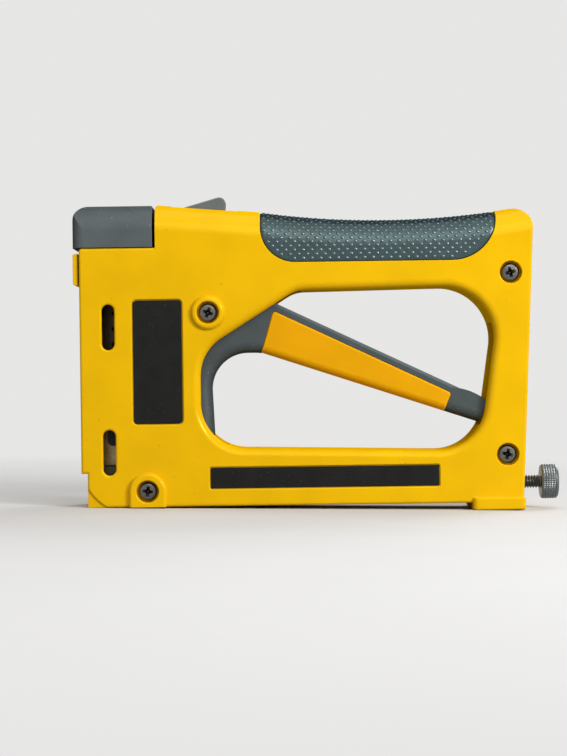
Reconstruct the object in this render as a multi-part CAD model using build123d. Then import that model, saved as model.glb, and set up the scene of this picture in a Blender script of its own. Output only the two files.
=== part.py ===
from build123d import *
import math
import os

# Picture framing point driver: two cast housing halves round a hand loop, a squeeze lever that draws a
# spring-driven striker back along the sole, and a magazine of flat points in the front tower.
# Millimetres. X runs from the nose to the rear, Y across the tool, Z up from the sole.

# Housing in side view
BODY_WIDTH = 28.0
WALL = 2.5
SOLE_LENGTH = 168.0
FRONT_OVERHANG = 2.4
NOSE_STEP_HEIGHT = 13.1
TOWER_LENGTH = 27.0
TOP_FRONT_HEIGHT = 117.0
CAP_STEP = 17.1
GRIP_FRONT_X = 67.2
GRIP_FRONT_FALL = 3.2
GRIP_SAG = 4.3
REAR_FALL = 1.8
REAR_LEAN = 5.3
REAR_CORNER_RADIUS = 7.7
TOP_CORNER_RADIUS = 1.6
LEDGE_CORNER_RADIUS = 1.2
SHOULDER_RADIUS = 10.5
SHOULDER_BITE = 0.01
SIDE_EDGE_RADIUS = 1.0
NOSE_CORNER_CENTRE = 17.5
NOSE_CORNER_RADIUS = 19.9
NOSE_CORNER_DEPTH = 0.7

# Rear foot
FOOT_LENGTH = 20.3
FOOT_OVERHANG = 0.5
FOOT_DROP = 2.75
FOOT_RISE = 2.1
FOOT_WIDTH = 32.0
FOOT_END_RADIUS = 2.0
FOOT_REAR_RADIUS = 0.9
FOOT_EDGE_RADIUS = 0.7

# Hand opening in side view
OPENING_FRONT_X = 43.9
OPENING_BOTTOM = 20.0
OPENING_FRONT_RISE = 2.4
HANDLE_DEPTH = 31.0
OPENING_TOP_REACH = 37.0
OPENING_TOP_RISE = 1.2
OPENING_DIAGONAL_DROP = 23.2
REAR_POST_TOP = 7.4
REAR_POST_BOTTOM = 16.7
OPENING_LOWER_FRONT_SHARE = 0.47
OPENING_UPPER_FRONT_SHARE = 0.457
OPENING_TOP_RADIUS = 12.0
OPENING_UPPER_REAR_RADIUS = 20.0
OPENING_LOWER_REAR_RADIUS = 18.5
OPENING_EDGE_RADIUS = 3.0

# Sight windows and label pockets
WINDOW_X = 8.5
WINDOW_WIDTH = 4.95
WINDOW_LENGTH = 17.6
WINDOW_UPPER_Z = 69.4
WINDOW_LOWER_Z = 21.0
WINDOW_EDGE_RADIUS = 0.8
WINDOW_FAR_REACH = 2.3
LABEL_THICKNESS = 0.4
LABEL_SINK = 0.35
LABEL_RIM = 0.3
LABEL_EDGE_RADIUS = 0.45
POINTS_LABEL_X = 27.5
POINTS_LABEL_Z = 55.8
POINTS_LABEL_WIDTH = 18.8
POINTS_LABEL_HEIGHT = 47.6
POINTS_LABEL_RADIUS = 1.5
BASE_LABEL_X = 91.4
BASE_LABEL_Z = 10.8
BASE_LABEL_LENGTH = 88.0
BASE_LABEL_HEIGHT = 7.9
BASE_LABEL_RADIUS = 0.4

# Case screws
SCREW_DIAMETER = 4.0
SCREW_HEAD_DIAMETER = 7.2
SCREW_HEAD_HEIGHT = 2.2
SCREW_HEAD_ROUND = 1.5
SCREW_FIT = 0.05
COUNTERBORE_DIAMETER = 8.6
COUNTERBORE_DEPTH = 3.8
COUNTERBORE_EDGE = 0.35
SCREW_TIP_COVER = 3.0
SCREW_BOSS_RADIUS = 5.6
NOSE_SCREW_X = 23.1
NOSE_SCREW_Z = 6.0
REAR_UPPER_SCREW_INSET = 4.0
REAR_UPPER_SCREW_RISE = 4.7
REAR_LOWER_SCREW_INSET = 6.0
REAR_LOWER_SCREW_Z = 18.5
PIVOT_BOSS_RADIUS = 6.55
PIVOT_BOSS_RISE = 1.8
PIVOT_BOSS_EDGE = 1.5
NOSE_BOSS_RADIUS = 7.1
NOSE_BOSS_RISE = 2.0
NOSE_BOSS_EDGE = 1.1

# Grip pad
PAD_FRONT_INSET = 0.4
PAD_REAR_INSET = 9.3
PAD_DROP = 20.15
PAD_FRONT_RADIUS = 13.5
PAD_REAR_RADIUS = 17.0
PAD_DEPTH = 1.6
PAD_SINK = 0.25
PAD_FIT = 0.05

# Squeeze lever
PIVOT_REACH = 3.2
PIVOT_DROP = 8.2
LEVER_WIDTH = 18.0
LEVER_SIDE_GAP = 0.5
LEVER_HUB_RADIUS = 10.0
LEVER_SWING = 14.0
LEVER_TOP_OFFSET = 14.4
LEVER_TOP_START = 11.0
LEVER_TAIL_BITE = 2.3
LEVER_TAIL_SLOT_GAP = 1.0
LEVER_TAIL_SLOT_ROOM = 3.2
LEVER_TAIL_RUN = 10.3
LEVER_TAIL_RISE = 4.94
LEVER_TAIL_TOP_LIFT = 19.2
LEVER_TAIL_BOTTOM_LIFT = 11.0
LEVER_TAIL_CROWN = 0.7
LEVER_UNDER_REACH = 20.4
LEVER_UNDER_DROP = 15.5
LEVER_UNDER_RADIUS = 16.0
ARM_REAR_REACH = 1.7
ARM_THICKNESS = 7.6
ARM_DIP = 7.5
ARM_FLARE = 1.4
ARM_INNER_RADIUS = 14.0
ARM_TIP_THICKNESS = 5.8
ARM_TIP_WIDTH = 9.4
ARM_TIP_BOTTOM = 9.0
ARM_TIP_RADIUS = 2.0
LEVER_UNDER_ROUND = 4.0
LEVER_TOP_ROUND = 1.2
LEVER_SLOT_GAP = 0.8
LEVER_SLOT_HEADROOM = 5.7
ARM_SLOT_GAP = 5.2
TIP_SLOT_GAP = 0.6
CORE_TOP_MARGIN = 3.3
CORE_FRONT_RAKE = 4.7
CORE_REAR_RAKE = 3.0
CORE_REAR_INSET = 13.6
CORE_CORNER_RADIUS = 1.3
CORE_PROUD = 0.2
CORE_EDGE = 0.7
CORE_UNDER_ROUND = 3.0
CORE_FIT = 0.05
BUSHING_DIAMETER = 8.0
BUSHING_FIT = 0.05
RETURN_SPRING_WIRE = 1.3
RETURN_SPRING_RADIUS = 5.6
RETURN_SPRING_TURNS = 4
RETURN_SPRING_PITCH = 2.0
RETURN_POCKET_RADIUS = 8.0
RETURN_POCKET_GAP = 0.5

# Striker, its track and the drive spring
NOSE_PLATE_THICKNESS = 2.0
NOSE_PLATE_WIDTH = 16.0
NOSE_PLATE_BOTTOM = 0.2
TAB_DROP = 1.9
TAB_HEIGHT = 12.2
TAB_WIDTH = 8.0
TAB_REACH = 2.45
TAB_PLATE = 1.8
TAB_PLATE_WIDTH = 25.0
TAB_CORNER_RADIUS = 0.8
TAB_STEM_INSET = 1.5
TAB_FIT = 0.1
TRACK_RUNOUT = 4.0
TRACK_WIDTH = 16.0
TRACK_SHEET = 1.2
TRACK_BOTTOM = 0.2
TRACK_HEIGHT = 15.3
TRACK_FIT = 0.1
TRACK_NOSE_GAP = 0.2
BLADE_THICKNESS = 1.0
BLADE_WIDTH = 12.0
BLADE_TIP_X = 0.4
BLADE_LIFT = 0.2
BLADE_SLOT_GAP = 0.3
BLOCK_LENGTH = 10.5
BLOCK_WIDTH = 12.8
BLOCK_HEIGHT = 11.4
BLOCK_CORNER = 1.5
ARM_GAP = 0.3
DRIVE_AXIS_Z = 7.25
DRIVE_SPRING_DIAMETER = 9.2
DRIVE_SPRING_WIRE = 1.6
DRIVE_SPRING_TURNS = 14

# Tension screw
SEAT_INSET = 20.0
SEAT_THICKNESS = 5.0
SEAT_DIAMETER = 9.4
SEAT_NOSE_LENGTH = 4.0
SEAT_NOSE_GAP = 0.4
THREAD_DIAMETER = 5.2
THREAD_FIT = 0.08
KNOB_STANDOFF = 7.95
KNOB_LENGTH = 6.75
KNOB_DIAMETER = 13.5
KNOB_ROUND = 1.6
NUT_SIZE = 9.4
NUT_LENGTH = 5.0
NUT_GAP = 0.1
NUT_RIB = 2.5
NUT_RIB_GAP = 0.2
REAR_HOLE_DIAMETER = 6.0

# Magazine
SHAFT_LENGTH = 15.7
GUIDE_SHEET = 1.2
GUIDE_WIDTH = 16.0
GUIDE_FLANGE = 7.0
FOLLOWER_LENGTH = 10.2
FOLLOWER_GAP = 0.3
FOLLOWER_WIDTH = 13.0
FOLLOWER_BOTTOM = 23.5
FOLLOWER_HEIGHT = 16.0
FOLLOWER_TOE_RADIUS = 2.0
FOLLOWER_POCKET_GAP = 0.4
FOLLOWER_POCKET_DEPTH = 3.0
CAP_OVERHANG = 2.6
CAP_GAP = 0.3
CAP_REAR_GAP = 1.1
CAP_FRONT_RADIUS = 6.5
CAP_REAR_RADIUS = 1.0
CAP_SIDE_RADIUS = 4.5
CAP_TOP_DROP = 0.25
CAP_SHOULDER = 10.0
CAP_POCKET_DEPTH = 9.0
CAP_POCKET_LENGTH = 20.0
CAP_POCKET_WIDTH = 14.0
ROD_DIAMETER = 3.6
ROD_LENGTH = 30.0
FOLLOWER_SPRING_DIAMETER = 7.4
FOLLOWER_SPRING_WIRE = 0.9
FOLLOWER_SPRING_TURNS = 12

# Thumb slide
SLIDE_X = 46.1
SLIDE_SLOT_LENGTH = 26.2
SLIDE_SLOT_WIDTH = 9.0
SLIDE_FLAT_DEPTH = 0.4
SLIDE_LENGTH = 15.8
SLIDE_WIDTH = 8.2
SLIDE_RISE = 5.9
SLIDE_CORNER_RADIUS = 2.4
SLIDE_EDGE_RADIUS = 0.5
SLIDE_PLATE_LENGTH = 22.0
SLIDE_PLATE_WIDTH = 11.0
SLIDE_PLATE_THICKNESS = 1.8
SLIDE_GAP = 0.4

# Values that follow from those above
HALF = BODY_WIDTH / 2
BEYOND = 40.0
FRONT_X = -FRONT_OVERHANG
REAR_TOP_X = SOLE_LENGTH + REAR_LEAN
LABEL_FLOOR = LABEL_SINK + LABEL_THICKNESS - HALF
LEDGE_HEIGHT = TOP_FRONT_HEIGHT - CAP_STEP
GRIP_FRONT_HEIGHT = TOP_FRONT_HEIGHT - GRIP_FRONT_FALL
REAR_HEIGHT = TOP_FRONT_HEIGHT - REAR_FALL
OPENING_TOP_FRONT_X = OPENING_FRONT_X + OPENING_TOP_REACH
OPENING_TOP_FRONT_HEIGHT = GRIP_FRONT_HEIGHT - HANDLE_DEPTH
OPENING_TOP_REAR_HEIGHT = OPENING_TOP_FRONT_HEIGHT + OPENING_TOP_RISE
OPENING_DIAGONAL_HEIGHT = OPENING_TOP_FRONT_HEIGHT - OPENING_DIAGONAL_DROP
OPENING_FRONT_BOTTOM = OPENING_BOTTOM + OPENING_FRONT_RISE
OPENING_FRONT_EDGE = OPENING_DIAGONAL_HEIGHT - OPENING_FRONT_BOTTOM
OPENING_LOWER_FRONT_RADIUS = OPENING_LOWER_FRONT_SHARE * OPENING_FRONT_EDGE
OPENING_UPPER_FRONT_RADIUS = OPENING_UPPER_FRONT_SHARE * OPENING_FRONT_EDGE
OPENING_TOP_REAR_X = SOLE_LENGTH - REAR_POST_TOP
OPENING_BOTTOM_REAR_X = SOLE_LENGTH - REAR_POST_BOTTOM
REAR_UPPER_SCREW_X = SOLE_LENGTH - REAR_UPPER_SCREW_INSET
REAR_UPPER_SCREW_Z = OPENING_TOP_REAR_HEIGHT + REAR_UPPER_SCREW_RISE
REAR_LOWER_SCREW_X = SOLE_LENGTH - REAR_LOWER_SCREW_INSET
PAD_FRONT_X = GRIP_FRONT_X + PAD_FRONT_INSET
PAD_REAR_X = SOLE_LENGTH - PAD_REAR_INSET
PAD_BOTTOM = GRIP_FRONT_HEIGHT - PAD_DROP
PIVOT_X = OPENING_FRONT_X + PIVOT_REACH
PIVOT_Z = OPENING_TOP_FRONT_HEIGHT - PIVOT_DROP
LEVER_HALF = LEVER_WIDTH / 2
SLOT_HALF = LEVER_HALF + LEVER_SIDE_GAP
LEVER_UNDER_X = PIVOT_X + LEVER_UNDER_REACH
LEVER_UNDER_Z = PIVOT_Z - LEVER_UNDER_DROP
LEVER_TAIL_TOP_Z = OPENING_BOTTOM + LEVER_TAIL_TOP_LIFT
LEVER_TAIL_BOTTOM_Z = OPENING_BOTTOM + LEVER_TAIL_BOTTOM_LIFT
ARM_BOTTOM = OPENING_BOTTOM + ARM_DIP
ARM_REAR_X = PIVOT_X + ARM_REAR_REACH
ARM_FRONT_X = ARM_REAR_X - ARM_THICKNESS
ARM_TIP_FRONT_X = ARM_REAR_X - ARM_TIP_THICKNESS
STRIKER_STROKE = (PIVOT_Z - ARM_TIP_BOTTOM) * math.radians(LEVER_SWING)
BLADE_BOTTOM = TRACK_BOTTOM + TRACK_SHEET + BLADE_LIFT
BLOCK_BOTTOM = BLADE_BOTTOM + BLADE_THICKNESS
BLOCK_FRONT_X = ARM_REAR_X + ARM_GAP
BLOCK_REAR_X = BLOCK_FRONT_X + BLOCK_LENGTH
NOSE_PLATE_X = FRONT_X + WALL
NOSE_PLATE_REAR_X = NOSE_PLATE_X + NOSE_PLATE_THICKNESS
TAB_TOP = LEDGE_HEIGHT - TAB_DROP
TAB_BOTTOM = TAB_TOP - TAB_HEIGHT
TAB_FRONT_X = FRONT_X - TAB_REACH
TRACK_FRONT_X = NOSE_PLATE_REAR_X + TRACK_NOSE_GAP
TRACK_REAR_X = BLOCK_REAR_X + STRIKER_STROKE + TRACK_RUNOUT
TRACK_TOP = TRACK_BOTTOM + TRACK_HEIGHT
SEAT_FRONT_X = SOLE_LENGTH - SEAT_INSET
SEAT_REAR_X = SEAT_FRONT_X + SEAT_THICKNESS
NUT_REAR_X = SOLE_LENGTH - WALL - NUT_GAP
NUT_FRONT_X = NUT_REAR_X - NUT_LENGTH
KNOB_FRONT_X = SOLE_LENGTH + KNOB_STANDOFF
KNOB_REAR_X = KNOB_FRONT_X + KNOB_LENGTH
SHAFT_REAR_X = NOSE_PLATE_REAR_X + SHAFT_LENGTH
FOLLOWER_REAR_X = SHAFT_REAR_X - FOLLOWER_GAP
FOLLOWER_FRONT_X = FOLLOWER_REAR_X - FOLLOWER_LENGTH
FOLLOWER_AXIS_X = (FOLLOWER_FRONT_X + FOLLOWER_REAR_X) / 2
FOLLOWER_TOP = FOLLOWER_BOTTOM + FOLLOWER_HEIGHT
LEDGE_UNDERSIDE = LEDGE_HEIGHT - WALL
CAP_BOTTOM = LEDGE_HEIGHT + CAP_GAP
CAP_FRONT_X = FRONT_X - CAP_OVERHANG
CAP_REAR_X = TOWER_LENGTH - CAP_REAR_GAP
CAP_TOP = TOP_FRONT_HEIGHT - CAP_TOP_DROP
POCKET_ROOF = CAP_BOTTOM + CAP_POCKET_DEPTH
TOP_SLOPE = math.atan2(TOP_FRONT_HEIGHT - GRIP_FRONT_HEIGHT, GRIP_FRONT_X - TOWER_LENGTH)
TOP_DIRECTION = Vector(math.cos(TOP_SLOPE), 0, -math.sin(TOP_SLOPE))
TOP_NORMAL = Vector(math.sin(TOP_SLOPE), 0, math.cos(TOP_SLOPE))

# The part's origin is the middle of the tool's box, on the surface that the foot stands on
ORIGIN_X = (min(CAP_FRONT_X, TAB_FRONT_X) + KNOB_REAR_X) / 2
TO_ORIGIN = Location((-ORIGIN_X, 0, FOOT_DROP))


def slab(face, low, high):
    """A side-view face carried across the tool from Y = low to Y = high."""
    return extrude(Plane.XZ.offset(-high) * face, amount=high - low)


def side_rectangle(x_low, x_high, z_low, z_high):
    return Polygon((x_low, z_low), (x_high, z_low), (x_high, z_high), (x_low, z_high), align=None)


def block(x_low, x_high, y_low, y_high, z_low, z_high):
    return slab(side_rectangle(x_low, x_high, z_low, z_high), y_low, y_high)


def round_corner(face, point, radius):
    """Round the corner of a flat face that lies nearest to the point."""
    corner = face.vertices().sort_by_distance((point[0], point[1], 0))[0]
    return fillet(corner, radius)


def disc_across(x, z, radius, low, high):
    """A round bar along Y."""
    return slab(Pos(x, z) * Circle(radius), low, high)


def disc_along(x_low, x_high, z, radius):
    """A round bar along X."""
    return extrude(Plane.YZ.offset(x_low) * (Pos(0, z) * Circle(radius)), amount=x_high - x_low)


def tail_radius():
    """Reach of the lever's tail from the pivot: a little way into the rear wall of the hand opening."""
    top = Vector(OPENING_TOP_REAR_X - PIVOT_X, OPENING_TOP_REAR_HEIGHT - PIVOT_Z)
    wall = Vector(OPENING_TOP_REAR_X - OPENING_BOTTOM_REAR_X, OPENING_TOP_REAR_HEIGHT - OPENING_BOTTOM)
    return top.cross(wall.normalized()).length + LEVER_TAIL_BITE


def tail_x(z):
    """X of the lever's tail end, an arc about the pivot."""
    return PIVOT_X + math.sqrt(tail_radius() ** 2 - (PIVOT_Z - z) ** 2)


def lever_slope():
    """Fall of the lever's straight top, in radians: past the pivot at its offset, down to the tail."""
    run = tail_x(LEVER_TAIL_TOP_Z) - LEVER_TAIL_RUN - PIVOT_X
    drop = PIVOT_Z - LEVER_TAIL_TOP_Z - LEVER_TAIL_RISE
    return math.atan2(drop, run) + math.asin(LEVER_TOP_OFFSET / math.hypot(run, drop))


def lever_top(x):
    """Height of the lever's straight top edge at rest."""
    angle = lever_slope()
    return PIVOT_Z + (LEVER_TOP_OFFSET - math.sin(angle) * (x - PIVOT_X)) / math.cos(angle)


def raised_lever_top_x(z):
    """X where the top edge of the fully squeezed lever passes through a height."""
    angle = lever_slope() - math.radians(LEVER_SWING)
    return PIVOT_X + (LEVER_TOP_OFFSET - math.cos(angle) * (z - PIVOT_Z)) / math.sin(angle)


def under_z(x):
    """Height of the lever's straight underside, from the core's front to the tail."""
    run = tail_x(LEVER_TAIL_BOTTOM_Z) - LEVER_UNDER_X
    return LEVER_UNDER_Z + (LEVER_TAIL_BOTTOM_Z - LEVER_UNDER_Z) * (x - LEVER_UNDER_X) / run


def helix_point(radius, pitch, turn):
    angle = 2 * math.pi * turn
    return Vector(radius * math.cos(angle), radius * math.sin(angle), pitch * turn)


def helix_tangent(radius, pitch, turn):
    angle = 2 * math.pi * turn
    along = pitch / (2 * math.pi)
    return Vector(-radius * math.sin(angle), radius * math.cos(angle), along).normalized()


def biarc(start, start_tangent, end, end_tangent):
    """Two arcs that leave start and reach end along the given tangents."""
    span = end - start
    tangents = start_tangent + end_tangent
    lead = span.dot(tangents)
    spread = 2 * (1 - start_tangent.dot(end_tangent))
    reach = (math.sqrt(lead**2 + spread * span.dot(span)) - lead) / spread
    join = (start + end + (start_tangent - end_tangent) * reach) * 0.5
    join_tangent = ((end - end_tangent * reach) - (start + start_tangent * reach)).normalized()
    first = Edge.make_tangent_arc(start, start_tangent, join)
    second = Edge.make_tangent_arc(join, join_tangent, end)
    return [first, second]


def coil(name, radius, wire, pitch, turns):
    """A round wire wound on +Z from Z = 0, as one tube on half-turn biarcs."""
    edges = []
    for half_turn in range(2 * turns):
        start = half_turn / 2
        end = (half_turn + 1) / 2
        edges += biarc(
            helix_point(radius, pitch, start),
            helix_tangent(radius, pitch, start),
            helix_point(radius, pitch, end),
            helix_tangent(radius, pitch, end),
        )
    start_plane = Plane(origin=helix_point(radius, pitch, 0), z_dir=helix_tangent(radius, pitch, 0))
    tube = sweep(start_plane * Circle(wire / 2), path=Wire(edges))
    points = [edge @ 0.5 for edge in edges]
    turn_ahead = len(points) // turns
    gaps = [(points[i + turn_ahead] - points[i]).length - wire for i in range(len(points) - turn_ahead)]
    print(f"{name}: least gap between turns {min(gaps):.2f} mm")
    return tube


def body_outline(inset):
    """Side view of the closed housing, drawn in from its outside by the inset."""
    rear_top = (REAR_TOP_X, REAR_HEIGHT)
    top_front = (TOWER_LENGTH, TOP_FRONT_HEIGHT)
    grip = SagittaArc((GRIP_FRONT_X, GRIP_FRONT_HEIGHT), rear_top, -GRIP_SAG)
    straight = Polyline(
        rear_top,
        (SOLE_LENGTH, 0),
        (0, 0),
        (0, NOSE_STEP_HEIGHT),
        (FRONT_X, NOSE_STEP_HEIGHT),
        (FRONT_X, LEDGE_HEIGHT),
        (TOWER_LENGTH, LEDGE_HEIGHT),
        top_front,
        (GRIP_FRONT_X, GRIP_FRONT_HEIGHT),
    )
    face = make_face(grip.edges() + straight.edges())
    if inset != 0:
        face = offset(face, amount=-inset, kind=Kind.INTERSECTION)
    face = round_corner(face, rear_top, REAR_CORNER_RADIUS - inset)
    if inset < TOP_CORNER_RADIUS:
        face = round_corner(face, top_front, TOP_CORNER_RADIUS - inset)
    if inset < LEDGE_CORNER_RADIUS:
        face = round_corner(face, (FRONT_X, LEDGE_HEIGHT), LEDGE_CORNER_RADIUS - inset)
    return face


def shoulder_section(radius, inset):
    """Corner piece outside a rounding of the shoulder: a square less a quarter circle.

    The circle sits a hair outward, so that the cut crosses the flat faces that it meets.
    """
    low = -radius
    high = BEYOND - radius
    square = Polygon((low, low), (high, low), (high, high), (low, high), align=None)
    centre = low + SHOULDER_BITE
    return square - Pos(centre, centre) * Circle(radius - inset)


def both_sides(solid):
    return solid + mirror(solid, about=Plane.XZ)


def front_shoulder(inset):
    """Waste outside the rounded shoulder along the straight part of the top."""
    start = Vector(GRIP_FRONT_X, HALF, GRIP_FRONT_HEIGHT) + TOP_DIRECTION * WALL
    section_plane = Plane(origin=start, x_dir=(0, 1, 0), z_dir=TOP_DIRECTION)
    section = section_plane * shoulder_section(SHOULDER_RADIUS, inset)
    return both_sides(extrude(section, amount=-(GRIP_FRONT_X - TOWER_LENGTH + 2 * WALL)))


def grip_shoulder(inset):
    """Waste outside the rounded shoulder along the hollow of the grip, round to the rear."""
    flat = SagittaArc((GRIP_FRONT_X, GRIP_FRONT_HEIGHT), (REAR_TOP_X, REAR_HEIGHT), -GRIP_SAG)
    arc = (Plane.XZ * flat).edge()
    centre = arc.arc_center
    section_plane = Plane(
        origin=Vector(GRIP_FRONT_X, HALF, GRIP_FRONT_HEIGHT), x_dir=(0, 1, 0), z_dir=arc.tangent_at(0)
    )
    section = section_plane * shoulder_section(SHOULDER_RADIUS, inset)
    sweep_angle = math.degrees(arc.length / arc.radius) + math.degrees(WALL / arc.radius)
    return both_sides(revolve(section, Axis(centre, (0, -1, 0)), revolution_arc=sweep_angle))


def rear_edges():
    """Waste outside the rounded edges of the leaning rear face."""
    top = Vector(REAR_TOP_X, HALF, REAR_HEIGHT)
    fall = Vector(SOLE_LENGTH, HALF, 0) - top
    section_plane = Plane(origin=top, x_dir=(0, 1, 0), z_dir=fall)
    section = section_plane * shoulder_section(SIDE_EDGE_RADIUS, 0)
    return both_sides(extrude(section, amount=fall.length + WALL))


def form(inset):
    """Solid form of the whole housing, drawn in by the inset on every side."""
    solid = slab(body_outline(inset), inset - HALF, HALF - inset)
    return solid - front_shoulder(inset) - grip_shoulder(inset)


def opening_face():
    lower_front = (OPENING_FRONT_X, OPENING_FRONT_BOTTOM)
    upper_front = (OPENING_FRONT_X, OPENING_DIAGONAL_HEIGHT)
    top_front = (OPENING_TOP_FRONT_X, OPENING_TOP_FRONT_HEIGHT)
    top_rear = (OPENING_TOP_REAR_X, OPENING_TOP_REAR_HEIGHT)
    lower_rear = (OPENING_BOTTOM_REAR_X, OPENING_BOTTOM)
    face = Polygon(lower_front, lower_rear, top_rear, top_front, upper_front, align=None)
    face = round_corner(face, lower_front, OPENING_LOWER_FRONT_RADIUS)
    face = round_corner(face, upper_front, OPENING_UPPER_FRONT_RADIUS)
    face = round_corner(face, top_front, OPENING_TOP_RADIUS)
    face = round_corner(face, top_rear, OPENING_UPPER_REAR_RADIUS)
    return round_corner(face, lower_rear, OPENING_LOWER_REAR_RADIUS)


def window_face(z, reach):
    """Side view of one sight window, wider towards the front by the reach."""
    slot = Rot(0, 0, 90) * SlotOverall(WINDOW_LENGTH, WINDOW_WIDTH + reach)
    return Pos(WINDOW_X - reach / 2, z) * slot


def side_edges(solid, face):
    """Edges of the solid on both side faces that follow the outline of the side-view face."""
    box = face.bounding_box()
    on_sides = solid.edges().filter_by(lambda edge: abs(abs(edge.center().Y) - HALF) < PAD_FIT)
    inside_x = on_sides.filter_by_position(Axis.X, box.min.X - WALL, box.max.X + WALL)
    return inside_x.filter_by_position(Axis.Z, box.min.Y - WALL, box.max.Y + WALL)


def outer_form():
    """Solid housing form with its openings cut through and their edges rounded."""
    solid = form(0)
    rims = solid.edges().filter_by(lambda edge: abs(abs(edge.center().Y) - HALF) < PAD_FIT)
    low_rims = rims.filter_by(lambda edge: edge.bounding_box().max.Z < LEDGE_HEIGHT + PAD_FIT)
    solid = fillet(low_rims, SIDE_EDGE_RADIUS) - rear_edges()
    opening = opening_face()
    solid -= slab(opening, -HALF, HALF)
    solid = fillet(side_edges(solid, opening), OPENING_EDGE_RADIUS)
    for z in (WINDOW_LOWER_Z, WINDOW_UPPER_Z):
        near = window_face(z, 0)
        solid -= slab(near, -HALF, 0)
        solid -= slab(window_face(z, WINDOW_FAR_REACH), 0, HALF)
        solid = fillet(side_edges(solid, near), WINDOW_EDGE_RADIUS)
    return solid


def screw_boss(x, z, inner):
    """Pair of inner bosses on the two halves, each reaching in to Y = inner from its side wall."""
    return both_sides(disc_across(x, z, SCREW_BOSS_RADIUS, inner, HALF - WALL / 2))


def cavity():
    """Hollow of the housing, less the wall round the hand opening, the screw bosses and the nut rib."""
    hollow = form(WALL)
    hollow -= slab(offset(opening_face(), amount=WALL), -HALF, HALF)
    hollow -= screw_boss(PIVOT_X, PIVOT_Z, SLOT_HALF)
    hollow -= screw_boss(NOSE_SCREW_X, NOSE_SCREW_Z, TRACK_WIDTH / 2 + TRACK_FIT)
    hollow -= screw_boss(REAR_UPPER_SCREW_X, REAR_UPPER_SCREW_Z, 0)
    hollow -= screw_boss(REAR_LOWER_SCREW_X, REAR_LOWER_SCREW_Z, 0)
    rib_rear = NUT_FRONT_X - NUT_RIB_GAP
    rib = block(rib_rear - NUT_RIB, rib_rear, -HALF, HALF, 0, OPENING_BOTTOM)
    return hollow - rib


def lever_slots():
    """Room in the wall of the hand opening for the lever, its arm and the arm's tip."""
    front = PIVOT_X - LEVER_HUB_RADIUS
    arm_rear = ARM_REAR_X + ARM_SLOT_GAP
    arm_bottom = ARM_BOTTOM - ARM_SLOT_GAP
    lever_rear = raised_lever_top_x(OPENING_TOP_FRONT_HEIGHT - LEVER_SLOT_GAP)
    lever_roof = OPENING_TOP_FRONT_HEIGHT + LEVER_SLOT_HEADROOM
    outline = Polygon(
        (front, arm_bottom),
        (arm_rear, arm_bottom),
        (arm_rear, LEVER_UNDER_Z),
        (lever_rear, LEVER_UNDER_Z),
        (lever_rear, lever_roof),
        (front, lever_roof),
        align=None,
    )
    tip_half = ARM_TIP_WIDTH / 2 + TIP_SLOT_GAP
    tip_front = ARM_TIP_FRONT_X - TIP_SLOT_GAP
    tip_rear = ARM_REAR_X + STRIKER_STROKE + TIP_SLOT_GAP
    tip_slot = block(tip_front, tip_rear, -tip_half, tip_half, TRACK_TOP, ARM_BOTTOM + TIP_SLOT_GAP)
    return slab(outline, -SLOT_HALF, SLOT_HALF) + tip_slot


def tail_slot():
    """Room for the lever's tail in the rear wall of the hand opening, from rest to full squeeze."""
    top_angle = math.asin((LEVER_TAIL_TOP_Z - PIVOT_Z) / tail_radius()) + math.radians(LEVER_SWING)
    low = LEVER_TAIL_BOTTOM_Z - LEVER_TAIL_SLOT_GAP
    high = PIVOT_Z + tail_radius() * math.sin(top_angle) + LEVER_TAIL_SLOT_ROOM
    front = tail_x(LEVER_TAIL_BOTTOM_Z) - WALL
    rear = PIVOT_X + tail_radius() + LEVER_TAIL_SLOT_GAP
    return block(front, rear, -SLOT_HALF, SLOT_HALF, low, high)


def front_cuts():
    """Seats of the nose plate and its tab, of the track in the sole, and the magazine's mouth."""
    plate_half = NOSE_PLATE_WIDTH / 2 + TAB_FIT
    nose = block(FRONT_X, WALL + TAB_FIT, -plate_half, plate_half, -WALL, NOSE_STEP_HEIGHT + WALL)
    tab_half = TAB_WIDTH / 2 + TAB_FIT
    stem_low = TAB_BOTTOM + TAB_STEM_INSET - TAB_FIT
    stem_high = TAB_TOP - TAB_STEM_INSET + TAB_FIT
    tab = block(FRONT_X - WALL, NOSE_PLATE_X, -tab_half, tab_half, stem_low, stem_high)
    track_half = TRACK_WIDTH / 2 + TRACK_FIT
    sole = block(0, TRACK_REAR_X + TRACK_FIT, -track_half, track_half, -WALL, WALL + TRACK_FIT)
    mouth_half = GUIDE_WIDTH / 2 - GUIDE_SHEET
    mouth_low = LEDGE_UNDERSIDE - WALL
    mouth = block(NOSE_PLATE_REAR_X, SHAFT_REAR_X, -mouth_half, mouth_half, mouth_low, CAP_BOTTOM)
    return nose + tab + sole + mouth


def slide_plane():
    """Working plane on the top of the housing, under the middle of the thumb slide."""
    rise = (SLIDE_X - TOWER_LENGTH) * math.tan(TOP_SLOPE)
    origin = Vector(SLIDE_X, 0, TOP_FRONT_HEIGHT - rise)
    return Plane(origin=origin, x_dir=TOP_DIRECTION, z_dir=TOP_NORMAL)


def slide_slot():
    """Slot of the thumb slide, in a shallow flat across the top."""
    slot = Box(SLIDE_SLOT_LENGTH, SLIDE_SLOT_WIDTH, 4 * WALL)
    flat = Box(SLIDE_SLOT_LENGTH, BODY_WIDTH, 2 * SLIDE_FLAT_DEPTH)
    return slide_plane() * (slot + flat)


def nose_corners():
    """Shallow recess outside an arc at the lower front corner of both sides."""
    corner = side_rectangle(-WALL, NOSE_CORNER_CENTRE, -WALL, NOSE_CORNER_CENTRE)
    corner -= Pos(NOSE_CORNER_CENTRE, NOSE_CORNER_CENTRE) * Circle(NOSE_CORNER_RADIUS)
    return both_sides(slab(corner, HALF - NOSE_CORNER_DEPTH, HALF))


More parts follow.
